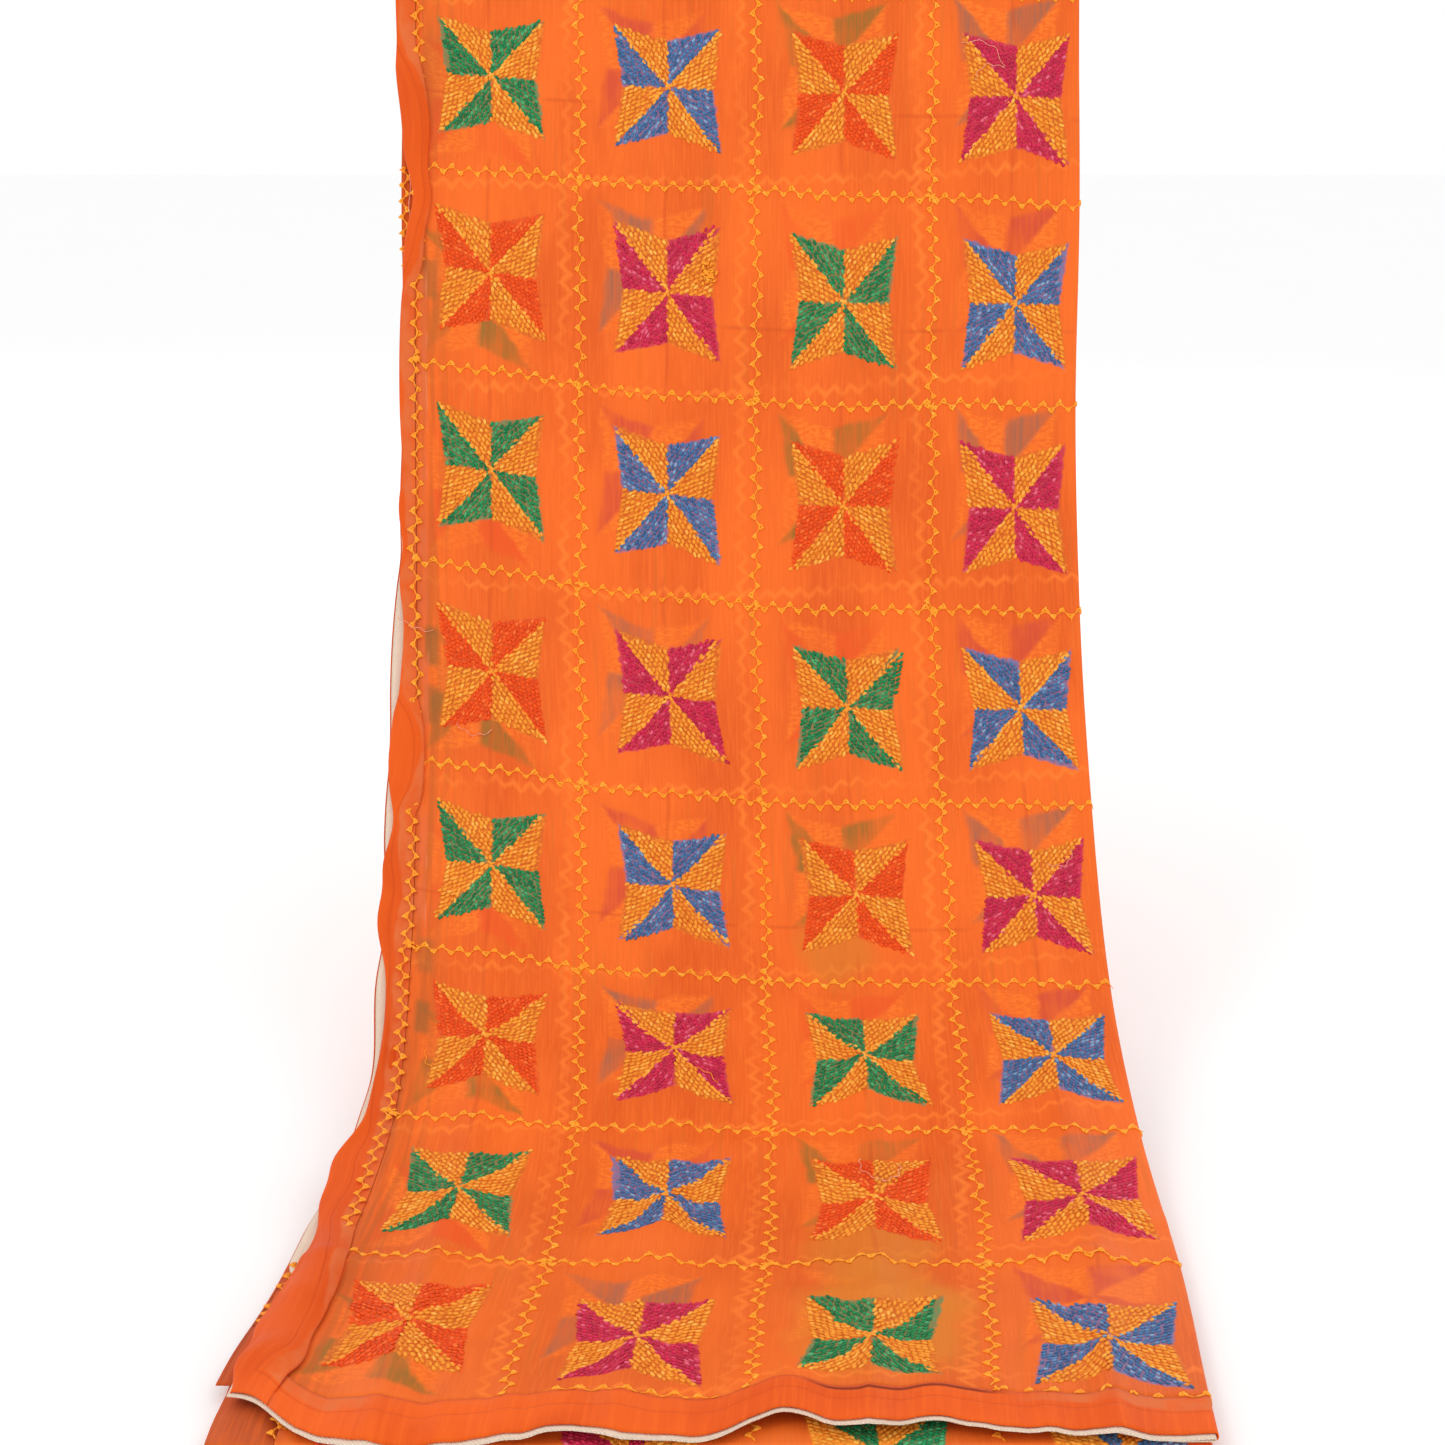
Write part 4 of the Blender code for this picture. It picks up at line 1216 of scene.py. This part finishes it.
front_ground = ground_material("sheer_orange_front", True)
rear_ground = ground_material("sheer_orange_rear", False)
front_cloth.data.materials.append(front_ground)
rear_cloth.data.materials.append(rear_ground)
print("ground nodes:", len(front_ground.node_tree.nodes))

# %% [markdown]
# ## Band, tape, rod and floor finishes
# The band is the same cloth folded double, so it is denser and a little redder. Next to the grid
# line a narrow strip is single and looks paler and pinker. The tape is a coarse cream weave.

# %% Band material


def band_material(name, light, deep, pale_share):
    material, shader, wire = start_material(name)
    place, u, v = cloth_place(wire)
    far = u > U_MIDDLE
    across = u * (1 - far) + (CLOTH_WIDTH - u) * far
    side_edge = across
    end_edge = FRONT_END + BORDER - v
    edge = side_edge.sum("MINIMUM", side_edge, end_edge)
    ragged = (place.noise(60, 60, 2.0) - 0.5) * 0.005 + (place.noise(13, 13, 1.0) - 0.5) * 0.016
    single = (edge + ragged).smooth(0.0205, 0.0225)
    fine = place.noise(420, 16, 3.0, 0.6)
    broad = place.noise(14, 10, 3.0)
    base = broad.smooth(0.35, 0.7).mix(light, deep)
    base = (fine.smooth(0.4, 0.75) * 0.45).mix(base, colour(248, 108, 28))
    side = (end_edge - side_edge).smooth(-0.006, 0.010)
    base = (side * 0.36).mix(base, colour(208, 76, 16))
    ends = u.smooth(0.084, 0.062) + u.smooth(0.350, 0.372)
    single = single * (side + (1 - side) * (0.18 + 0.82 * ends))
    pale = place.noise(90, 46, 3.0).smooth(0.36, 0.62)
    base = (single * pale_share * (0.3 + 0.6 * pale)).mix(base, colour(220, 112, 60))
    # Painted shade: a dark line along the crease where the hem folds over, on part of its width.
    folded = abs(end_edge + (place.noise(30, 30, 1.0) - 0.5) * 0.002 - 0.0272).smooth(0.0020, 0.0005)
    folded = folded * u.smooth(0.258, 0.276) * u.smooth(0.358, 0.338)
    base = (folded * 0.92).mix(base, colour(128, 42, 16))
    seam = 1 - abs(edge - 0.0172).smooth(0.0, 0.0009)
    base = (seam * 0.22).mix(base, colour(200, 66, 24))
    plug(base, shader, "Base Color")
    shader.inputs["Roughness"].default_value = 0.7
    shader.inputs["Sheen Weight"].default_value = 0.03
    shader.inputs["Specular IOR Level"].default_value = 0.14
    plug(bump_from(weave_height(place) + seam * -1.5, 0.0004, 0.55), shader, "Normal")
    return material


outer_band = band_material("orange_band", colour(237, 96, 22), colour(218, 80, 17), 0.9)
# The shaded copy is painted shade: darker colours for the band of the layer behind and the rear inner
# band, which lie in the front layer's shadow.
inner_band = band_material("shaded_band", colour(206, 88, 34), colour(166, 70, 28), 0.2)
for piece in (front_edge_band, front_hem_band, rear_outer_band, rear_hem_band):
    piece.data.materials.append(outer_band)
for piece in (back_edge_band, rear_inner_band):
    piece.data.materials.append(inner_band)
print("band nodes:", len(outer_band.node_tree.nodes))

# %% Tape, rod and floor materials


def tape_material():
    material, shader, wire = start_material("cream_tape")
    place, u, v = cloth_place(wire)
    ribs = (u * 4200 + v * 4200).sum("SINE", u * 4200 + v * 4200) * 0.5 + 0.5
    cross = (v * 3100 - u * 3100).sum("SINE", v * 3100 - u * 3100) * 0.5 + 0.5
    weave = ribs * cross
    base = weave.mix(colour(220, 192, 168), colour(252, 240, 222))
    base = (place.noise(300, 120, 2.0).smooth(0.4, 0.7) * 0.6).mix(base, colour(238, 212, 188))
    plug(base, shader, "Base Color")
    shader.inputs["Roughness"].default_value = 0.8
    plug(bump_from(weave, 0.0004, 0.6), shader, "Normal")
    return material


def wood_material():
    material, shader, wire = start_material("waxed_wood")
    place = wire.node("ShaderNodeTexCoord", out=3)
    grain = place.node("ShaderNodeMapping", {}, {0: place, 3: (9, 160, 160)})
    lines = grain.node("ShaderNodeTexNoise", {}, {"Vector": grain, "Scale": 1.0, "Detail": 5.0,
                                                  "Distortion": 0.8})
    base = lines.node("ShaderNodeValToRGB", {"stops": [
        (0.30, colour(92, 62, 40)), (0.52, colour(140, 98, 64)), (0.72, colour(172, 128, 88))]},
        {0: lines})
    plug(base, shader, "Base Color")
    shader.inputs["Roughness"].default_value = 0.42
    shader.inputs["Coat Weight"].default_value = 0.15
    plug(bump_from(lines, 0.0003, 0.4), shader, "Normal")
    return material


def floor_material():
    material, shader, wire = start_material("pale_floor")
    place = wire.node("ShaderNodeTexCoord", out=3)
    cloud = place.noise(3.0, 3.0)
    plug(cloud.mix((0.985, 0.985, 0.985, 1), (0.97, 0.97, 0.97, 1)), shader, "Base Color")
    shader.inputs["Roughness"].default_value = 0.9
    return material


tape = tape_material()
hem_tape.data.materials.append(tape)
side_tape.data.materials.append(tape)
turned_rod.data.materials.append(wood_material())
floor.data.materials.append(floor_material())
print("materials so far:", len(bpy.data.materials))

# %% [markdown]
# ## Stitches by Geometry Nodes
# A star holds several hundred short slanted stitches. Each is one small bead of thread, pressed
# long and flat. Python works out where each stitch starts on the cloth and which way it runs, and
# a Geometry Nodes tree sets a bead on every such point, varies it a little and joins them all.

# %% Tree that sets beads of thread on points


def thread_tree(name, beads):
    tree = bpy.data.node_groups.new(name, "GeometryNodeTree")
    face = tree.interface
    face.new_socket("Geometry", in_out="INPUT", socket_type="NodeSocketGeometry")
    for label in ("Thickness", "Unevenness"):
        face.new_socket(label, in_out="INPUT", socket_type="NodeSocketFloat")
    face.new_socket("Seed", in_out="INPUT", socket_type="NodeSocketInt")
    face.new_socket("Thread", in_out="INPUT", socket_type="NodeSocketMaterial")
    face.new_socket("Geometry", in_out="OUTPUT", socket_type="NodeSocketGeometry")
    new, link = tree.nodes.new, tree.links.new
    start, finish = new("NodeGroupInput"), new("NodeGroupOutput")

    def named(label):
        made = new("GeometryNodeInputNamedAttribute")
        made.data_type = "FLOAT_VECTOR"
        made.inputs["Name"].default_value = label
        return made.outputs["Attribute"]

    if beads == "round":
        bead = new("GeometryNodeMeshIcoSphere")
        bead.inputs["Radius"].default_value = 0.5
        bead.inputs["Subdivisions"].default_value = 1
    else:
        bead = new("GeometryNodeMeshUVSphere")
        bead.inputs["Radius"].default_value = 0.5
        bead.inputs["Segments"].default_value = 4
        bead.inputs["Rings"].default_value = 2
    soften = new("GeometryNodeSetShadeSmooth")
    link(bead.outputs["Mesh"], soften.inputs["Geometry"])
    stand = new("FunctionNodeAlignRotationToVector")
    stand.axis = "Z"
    link(named("facing"), stand.inputs["Vector"])
    turn = new("FunctionNodeAlignRotationToVector")
    turn.axis = "X"
    turn.pivot_axis = "Z"
    link(stand.outputs["Rotation"], turn.inputs["Rotation"])
    link(named("along"), turn.inputs["Vector"])
    vary = new("FunctionNodeRandomValue")
    vary.data_type = "FLOAT_VECTOR"
    low, high = new("ShaderNodeMath"), new("ShaderNodeMath")
    low.operation, high.operation = "SUBTRACT", "ADD"
    for sums in (low, high):
        sums.inputs[0].default_value = 1.0
        link(start.outputs["Unevenness"], sums.inputs[1])
    link(low.outputs[0], vary.inputs[0])
    link(high.outputs[0], vary.inputs[1])
    link(start.outputs["Seed"], vary.inputs["Seed"])
    sized = new("ShaderNodeVectorMath")
    sized.operation = "MULTIPLY"
    link(named("size"), sized.inputs[0])
    link(vary.outputs[0], sized.inputs[1])
    scaled = new("ShaderNodeVectorMath")
    scaled.operation = "SCALE"
    link(sized.outputs[0], scaled.inputs[0])
    link(start.outputs["Thickness"], scaled.inputs["Scale"])
    place = new("GeometryNodeInstanceOnPoints")
    link(start.outputs["Geometry"], place.inputs["Points"])
    link(soften.outputs[0], place.inputs["Instance"])
    link(turn.outputs["Rotation"], place.inputs["Rotation"])
    link(scaled.outputs[0], place.inputs["Scale"])
    shade = new("FunctionNodeRandomValue")
    shade.data_type = "FLOAT"
    link(start.outputs["Seed"], shade.inputs["Seed"])
    keep = new("GeometryNodeStoreNamedAttribute")
    keep.data_type = "FLOAT"
    keep.domain = "INSTANCE"
    keep.inputs["Name"].default_value = "tint"
    link(place.outputs["Instances"], keep.inputs["Geometry"])
    link(shade.outputs[1], keep.inputs["Value"])
    real = new("GeometryNodeRealizeInstances")
    link(keep.outputs["Geometry"], real.inputs["Geometry"])
    paint = new("GeometryNodeSetMaterial")
    link(real.outputs["Geometry"], paint.inputs["Geometry"])
    link(start.outputs["Thread"], paint.inputs["Material"])
    link(paint.outputs["Geometry"], finish.inputs["Geometry"])
    return tree


ROUND_BEADS = thread_tree("round_thread_beads", "round")
PLAIN_BEADS = thread_tree("plain_thread_beads", "plain")
print("nodes in the stitch tree:", len(ROUND_BEADS.nodes))

# %% Threads as material, and the call that makes a stitched piece


def thread_material(name, shown, dark, light):
    material, shader, wire = start_material(name)
    tint = wire.node("ShaderNodeAttribute", {"attribute_name": "tint"}, out=2)
    place = wire.node("ShaderNodeTexCoord", out=3)
    fleck = place.noise(1900, 1900, 2.0)
    base = (tint.smooth(0.3, 1.0) * 0.6 + fleck.smooth(0.45, 0.7) * 0.3).mix(shown, dark)
    base = (tint.smooth(0.22, 0.02) * 0.7 + fleck.smooth(0.42, 0.30) * 0.25).mix(base, light)
    plug(base, shader, "Base Color")
    shader.inputs["Roughness"].default_value = 0.5
    shader.inputs["Specular IOR Level"].default_value = 0.25
    plug(bump_from(fleck, 0.0003, 0.5), shader, "Normal")
    return material


THREAD_FINISH = {
    "gold": thread_material("gold_thread", colour(252, 164, 50), colour(232, 128, 28),
                            colour(255, 192, 84)),
    "line": thread_material("line_thread", colour(252, 164, 38), colour(246, 142, 30),
                            colour(255, 184, 66)),
    "green": thread_material("green_thread", colour(28, 148, 86), colour(8, 90, 52),
                             colour(92, 182, 122)),
    "blue": thread_material("blue_thread", colour(74, 124, 174), colour(40, 78, 126),
                            colour(146, 178, 210)),
    "magenta": thread_material("magenta_thread", colour(220, 36, 84), colour(168, 24, 60),
                               colour(238, 116, 142)),
    "flame": thread_material("flame_thread", colour(248, 88, 16), colour(224, 64, 10),
                             colour(255, 128, 56)),
    "pale": thread_material("pale_thread", colour(246, 168, 140), colour(226, 140, 110),
                            colour(250, 196, 176)),
}


def stitched(name, thread, places, facing, along, size, tree, unevenness=0.14, seed=3):
    """Beads of thread on the given points, as one plain mesh."""
    mesh = bpy.data.meshes.new(name + "_points")
    mesh.from_pydata(places.tolist(), [], [])
    for label, values in (("facing", facing), ("along", along), ("size", size)):
        layer = mesh.attributes.new(label, "FLOAT_VECTOR", "POINT")
        layer.data.foreach_set("vector", values.astype(np.float32).ravel())
    source = bpy.data.objects.new(name + "_points", mesh)
    bpy.context.scene.collection.objects.link(source)
    beads = source.modifiers.new("threads", "NODES")
    beads.node_group = tree
    values = {"Thickness": 1.0, "Unevenness": unevenness, "Seed": seed,
              "Thread": THREAD_FINISH[thread]}
    for item in tree.interface.items_tree:
        if item.in_out == "INPUT" and item.name in values:
            beads[item.identifier] = values[item.name]
    graph = bpy.context.evaluated_depsgraph_get()
    made_mesh = bpy.data.meshes.new_from_object(source.evaluated_get(graph),
                                                preserve_all_data_layers=True, depsgraph=graph)
    source.modifiers.clear()
    bpy.data.objects.remove(source)
    bpy.data.meshes.remove(mesh)
    made_mesh.name = name
    made = bpy.data.objects.new(name, made_mesh)
    bpy.context.scene.collection.objects.link(made)
    triangles = sum(len(p.vertices) - 2 for p in made_mesh.polygons)
    print(name, "has", len(places), "stitches and", triangles, "triangles")
    return made


# %% [markdown]
# ## Setting stitches on a layer
# A stitch is a flat place (u, v) and a flat direction. Two small steps on the layer's placing
# function show how the cloth lies there, which gives the stitch its direction in space and the
# way out of the cloth.

# %% From flat stitches to points in space


def on_layer(layer, u, v, heading, lift, side=1):
    """Points, outward directions and stitch directions on a layer; heading is an angle on the
    flat cloth, from across to along, and side is -1 where the right side faces away."""
    step = 0.0008
    here = layer(u, v)
    across = layer(u + step, v) - layer(u - step, v)
    down = layer(u, v + step) - layer(u, v - step)
    across /= np.linalg.norm(across, axis=1)[:, None]
    down /= np.linalg.norm(down, axis=1)[:, None]
    out = np.cross(down, across) * side
    out /= np.linalg.norm(out, axis=1)[:, None]
    along = across * np.cos(heading)[:, None] + down * np.sin(heading)[:, None]
    return here + out * lift, out, along


# %% Flat stitches of one star


def in_triangle(points, corners):
    a, b, c = (np.array(p) for p in corners)
    side = []
    for p, q in ((a, b), (b, c), (c, a)):
        edge = q - p
        side.append(edge[0] * (points[:, 1] - p[1]) - edge[1] * (points[:, 0] - p[0]))
    side = np.array(side)
    return (side > 0).all(axis=0) | (side < 0).all(axis=0)


def star_stitches(random, mirrored, dense):
    """Flat stitches of one star about its centre: place, heading and whether coloured."""
    places, headings, coloured = [], [], []
    wobble = random.normal(0.0, 0.0012, (4, 2))
    for index, (sx, sy) in enumerate(((-1, -1), (1, -1), (1, 1), (-1, 1))):
        corner = np.array([sx * CORNER_U, sy * CORNER_V]) + wobble[index]
        for side in (True, False):
            mid = np.array([sx * SIDE_U, 0.0]) if side else np.array([0.0, sy * SIDE_V])
            is_coloured = ((sx * sy > 0) == side) != mirrored
            diagonal = corner / np.linalg.norm(corner)
            run = diagonal * 0.5 + mid / np.linalg.norm(mid) * 0.5 if side else diagonal
            run = run / np.linalg.norm(run)
            across = np.array([-run[1], run[0]])
            row_gap, gap = (0.00235, 0.0031) if is_coloured else (0.0026, 0.0034)
            row_gap, gap = row_gap / dense, gap / dense
            rows, steps = np.meshgrid(np.arange(-24, 25), np.arange(-24, 25), indexing="ij")
            shift = random.uniform(0, 1, 2)
            r = (rows + shift[0]) * row_gap
            s = (steps + shift[1] + 0.5 * (rows % 2)) * gap
            grid = r[..., None] * across + s[..., None] * run
            grid = grid.reshape(-1, 2) + random.normal(0, 0.00030, (grid.size // 2, 2))
            tip = corner * random.uniform(0.95, 1.01)
            waist = mid * random.uniform(0.95, 1.01)
            grid = grid[in_triangle(grid, (np.zeros(2), tip, waist))]
            angle = math.atan2(run[1], run[0])
            lean = 0.26 * sx * sy
            places.append(grid)
            headings.append(angle + lean + random.normal(0, 0.16, len(grid)))
            coloured.append(np.full(len(grid), is_coloured))
        reach = np.linalg.norm(corner)
        steps = np.arange(0.001, reach * 0.97, 0.0042 / dense)
        line = steps[:, None] * corner / reach + random.normal(0, 0.0005, (len(steps), 2))
        places.append(line)
        headings.append(math.atan2(corner[1], corner[0]) + random.normal(0, 0.34, len(steps)))
        coloured.append(np.full(len(steps), False))
    return np.concatenate(places), np.concatenate(headings), np.concatenate(coloured)


def star_field(rows, order, dense, seed, keep, last=NO_SHIFT):
    """Flat stitches of many stars, sorted by thread: {thread: (u, v, heading)}."""
    random = np.random.default_rng(seed)
    found = {}
    for row in rows:
        for column, centre in enumerate(STAR_U):
            places, headings, coloured = star_stitches(random, column >= 2, dense)
            slip = last[column] if row == 8 else 0.0
            u, v = centre + places[:, 0], row * ROW + slip + places[:, 1]
            inside = keep(u, v)
            name = order[row % 2][column]
            for thread, chosen in (("gold", ~coloured), (name, coloured)):
                pick = chosen & inside
                found.setdefault(thread, []).append(
                    np.stack([u[pick], v[pick], headings[pick]]))
    return {thread: np.concatenate(parts, axis=1) for thread, parts in found.items()}


one_star = star_stitches(np.random.default_rng(1), False, 1.0)[0]
print("stitches in one star:", len(one_star))

# %% [markdown]
# ## The wavy lines
# The grid is sewn with one golden thread that swings from side to side. At each turn it makes a
# small knot of four crossed stitches, which looks like a little triangle from a distance.

# %% Flat stitches of the wavy lines
KNOT = [
    # shift along the line, rise off it, lean, length, thickness
    (-0.0010, 0.0006, 0.95, 0.0046, 0.0017),
    (0.0010, 0.0006, -0.95, 0.0046, 0.0017),
    (0.0000, -0.0002, 0.05, 0.0042, 0.0014),
    (0.0003, 0.0016, 1.35, 0.0028, 0.0016),
]


def wavy_line(random, fixed, first, last, period, swing, lengthwise):
    """One wavy line: u, v, heading, length and thickness of each of its stitches."""
    rows = []
    count = int((last - first) / (period / 2))
    for k in range(count):
        side = 1 if k % 2 else -1
        a = first + k * period / 2
        b = a + period / 2
        off_a, off_b = side * swing, -side * swing
        length = math.hypot(b - a, off_b - off_a)
        angle = math.atan2(off_b - off_a, b - a)
        drift = 0.0010 * math.sin(a * 47.0 + fixed * 300.0) + 0.0005 * math.sin(a * 113.0)
        rows.append(((a + b) / 2, drift, angle, length * 1.10, 0.00085))
        grow = random.uniform(0.8, 1.2)
        for shift, rise, lean, reach, thick in KNOT:
            rows.append((a + grow * shift, drift + off_a + side * grow * rise,
                         side * lean + random.normal(0, 0.15), grow * reach, thick))
    s, off, angle, length, thick = np.array(rows).T
    if lengthwise:
        return np.stack([fixed + off, s, math.pi / 2 - angle, length, thick])
    return np.stack([s, fixed + off, angle, length, thick])


def line_grid(seed, rows, first_v, last_v, last_u, knots=4):
    random = np.random.default_rng(seed)
    parts = []
    for row in rows:
        start = U_GRID + float(eased(FIRST_LINE, 1, np.array([(row + 0.5) * ROW]))[0])
        line = wavy_line(random, (row + 0.5) * ROW, start, last_u + 0.005, 0.0104, 0.0013, False)
        line = line[:, line[0] < last_u]
        if row == 8:
            bare = ((line[0] > 0.148) & (line[0] < 0.224)) | (line[0] > 0.346)
            line = line[:, bare]
        parts.append(line)
    for line in (U_GRID, U_LINE_2, U_LINE_3, U_LINE_4):
        part = wavy_line(random, line, first_v, last_v, 0.0120, 0.0013, True)
        if line == U_GRID:
            part[0] = part[0] + eased(FIRST_LINE, 1, part[1])
        parts.append(part)
    flat = np.concatenate(parts, axis=1)
    flat = flat[:, np.arange(flat.shape[1]) % 5 <= knots]
    clumps = []
    for row in rows:
        for line in (U_GRID, U_LINE_2, U_LINE_3, U_LINE_4):
            for k in range(6):
                near = random.normal(0, 0.0012, 2)
                clumps.append((line + near[0], (row + 0.5) * ROW + near[1],
                               random.uniform(0, math.pi), 0.0040, 0.0015))
    if clumps and knots > 1:
        flat = np.concatenate([flat, np.array(clumps).T], axis=1)
    return flat[:, flat[1] < last_v]


# %% Stitches of the front half
STAR_SIZE = np.array([0.0044, 0.0023, 0.0010])
FINE_SIZE = np.array([0.0039, 0.0021, 0.0009])


def stitch_stars(prefix, field, layer, tree, scale, seed, side=1):
    made = []
    for thread, (u, v, heading) in field.items():
        places, facing, along = on_layer(layer, u, v, heading, SKIN / 2 + 0.0002, side)
        size = np.tile((STAR_SIZE if thread == "gold" else FINE_SIZE) * scale, (len(u), 1))
        made.append(stitched(f"{prefix}_{thread}_stars", thread, places, facing, along, size,
                             tree, seed=seed))
    return made


def stitch_lines(name, flat, layer, tree, side=1, lift=0.0003, thread="line"):
    u, v, heading, length, thick = flat
    over_band = 0.0012 * (u < U_GRID + 0.002)[:, None]
    places, facing, along = on_layer(layer, u, v, heading, SKIN / 2 + lift + over_band, side)
    size = np.stack([length, thick, thick * 0.8], axis=1)
    return stitched(name, thread, places, facing, along, size, tree)


front_field = star_field(range(0, 9), FRONT_ORDER, 1.0, 11,
                         lambda u, v: (v > 0.004) & (v < FRONT_END), LAST_ROW)
front_stars = stitch_stars("front", front_field, front_layer, ROUND_BEADS, 1.0, 5)
front_lines = stitch_lines(
    "front_wavy_lines", line_grid(7, range(0, 9), 0.004, FRONT_END, FRONT_WIDTH + 0.001),
    front_outside, ROUND_BEADS)

# %% Bits of stitching that show beside the roll


def back_border(u, v):
    return back_border_line(v, U_GRID - u, 0.0)


edge_random = np.random.default_rng(17)
edge_bits = [wavy_line(edge_random, U_GRID - place, first, last, 0.0105, 0.0013, True)
             for place, first, last in ((0.0108, 0.192, 0.262), (0.0265, 0.955, 0.985),
                                        (0.0250, 1.000, 1.030), (0.0255, 0.838, 0.852))]
edge_stitches = stitch_lines("edge_stitches", np.concatenate(edge_bits, axis=1), back_border,
                             ROUND_BEADS, 1, 0.0006)
pale_v = np.linspace(0.184, 0.226, 40)
pale_edge = np.stack([U_GRID - 0.0078 - 0.0006 * np.sin(pale_v * 240.0), pale_v,
                      np.full(40, math.pi / 2), np.full(40, 0.0022), np.full(40, 0.0006)])
pale_line = stitch_lines("pale_edge_thread", pale_edge, back_border, ROUND_BEADS, 1, 0.0014, "pale")
scatter = edge_random.normal(0.0, 1.0, (2, 26))
clump = np.stack([0.2085 + 0.0020 * scatter[0], 0.2400 + 0.0034 * scatter[1],
                  edge_random.uniform(0, math.pi, 26), np.full(26, 0.0038), np.full(26, 0.0016)])
thread_clump = stitch_lines("thread_clump", clump, front_layer, ROUND_BEADS, 1, 0.0011)

# %% Loose thread ends
LOOSE_THREADS = [
    # start across, start along, end across, end along, bow, thread
    (0.0540, 0.5420, 0.0760, 0.5440, 0.0050, "pale"),
    (0.0185, 0.4800, 0.0395, 0.4860, 0.0026, "pale"),
    (0.0420, 0.7700, 0.0520, 0.7860, 0.0040, "line"),
    (0.1900, 0.7720, 0.2080, 0.7820, -0.0050, "line"),
    (0.3640, 0.0930, 0.3900, 0.1090, -0.0080, "pale"),
    (0.3900, 0.1090, 0.3720, 0.1160, 0.0060, "pale"),
    (0.2860, 0.8520, 0.2960, 0.8740, 0.0050, "pale"),
    (0.2960, 0.8740, 0.3060, 0.8560, 0.0040, "pale"),
    (0.1980, 0.2360, 0.2120, 0.2440, 0.0030, "gold"),
    (0.4060, 0.6100, 0.4220, 0.6000, 0.0060, "pale"),
]


def loose_end(start_u, start_v, end_u, end_v, bow):
    """Flat stitches along one bowed thread end."""
    t = np.linspace(0, 1, 19)
    bend = bow * np.sin(math.pi * t) + 0.0009 * np.sin(t * 17.0)
    du, dv = end_u - start_u, end_v - start_v
    reach = math.hypot(du, dv)
    u = start_u + du * t - bend * dv / reach
    v = start_v + dv * t + bend * du / reach
    long = np.hypot(np.diff(u), np.diff(v))
    return (u[1:] + u[:-1]) / 2, (v[1:] + v[:-1]) / 2, np.arctan2(np.diff(v), np.diff(u)), long


def loose_piece(thread):
    parts = [loose_end(*row[:5]) for row in LOOSE_THREADS if row[5] == thread]
    u, v, heading, long = (np.concatenate(column) for column in zip(*parts))
    lift = (SKIN / 2 + 0.0012 + 0.0014 * (u < U_GRID + 0.002))[:, None]
    places, facing, along = on_layer(front_layer, u, v, heading, lift)
    size = np.stack([long * 1.5, 0 * long + 0.0005, 0 * long + 0.0005], axis=1)
    return stitched(f"loose_{thread}_ends", thread, places, facing, along, size, ROUND_BEADS, 0.02)


loose_ends = [loose_piece(thread) for thread in ("pale", "line", "gold")]

# %% Stitches of the rear half


def rear_outer(u, v):
    return rear_layer(u, v, True)


def rear_inner(u, v):
    return rear_layer(u, v, False)


rear_field = star_field(range(0, 10), FRONT_ORDER, 0.76, 23,
                        lambda u, v: (v > 0.006) & (v < REAR_BEND_START - 0.004))
rear_stars = stitch_stars("rear", rear_field, rear_outer, PLAIN_BEADS, 1.30, 5, -1)
rear_lines = stitch_lines(
    "rear_wavy_lines", line_grid(9, range(0, 9), 0.006, REAR_BEND_START, REAR_FLAT_WIDTH - 0.004, 1),
    rear_outer, PLAIN_BEADS, -1)
peek_field = star_field(range(9, 10), BACK_ORDER, 1.0, 31,
                        lambda u, v: v < REAR_BEND_START + math.pi * BEND_RADIUS * 0.8)
peek_stars = stitch_stars("peek", peek_field, rear_inner, ROUND_BEADS, 1.0, 5)
peek_lines = stitch_lines(
    "peek_wavy_lines", line_grid(13, (), 1.050, REAR_BEND_START + 0.006, 0.0), rear_inner, ROUND_BEADS)

# %% [markdown]
# ## Handing the pieces over
# Every piece moves with the one body. Each skin and the rod stand for their solids.

# %% Bodies and solids
STANDS_FOR = [
    # piece, solid, slot
    (front_cloth, "front_fall", "ground_cloth"),
    (rear_cloth, "rear_fall", "ground_cloth_rear"),
    (front_edge_band, "front_long_border", "border_front"),
    (back_edge_band, "back_layer_long_border", "border_back_layer"),
    (front_hem_band, "front_hem_border", "border_hem"),
    (hem_tape, "front_hem_tape", "tape_hem"),
    (side_tape, "back_layer_tape", "tape_long"),
    (rear_inner_band, "rear_inner_long_border", "border_rear_inner"),
    (rear_outer_band, "rear_outer_long_border", "border_rear_outer"),
    (rear_hem_band, "rear_hem_border", "border_rear_hem"),
    (turned_rod, "hanging_rod", "rod_wood"),
]
for piece, solid, slot in STANDS_FOR:
    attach(piece, "root")
    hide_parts(solid)
front_threads = [*front_stars, front_lines, edge_stitches, pale_line, thread_clump, *loose_ends]
rear_threads = [*rear_stars, rear_lines, *peek_stars, peek_lines]
for threads, slot in ((front_threads, "ground_cloth"), (rear_threads, "ground_cloth_rear")):
    for piece in threads:
        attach(piece, "root")
print("stitched pieces:", len(front_threads) + len(rear_threads))

# %% Cut sizes
AROUND = CLOTH_WIDTH - 2 * BORDER

print("the front stretch was cut to", round(AROUND, 3), "by", round(FRONT_END, 4), "m")

new_low, new_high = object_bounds()
grown = [round(1000 * max(a - b, d - c), 2)
         for a, b, c, d in zip(cad_low, new_low, cad_high, new_high)]
print("stands proud of the solids by, in mm:", grown)
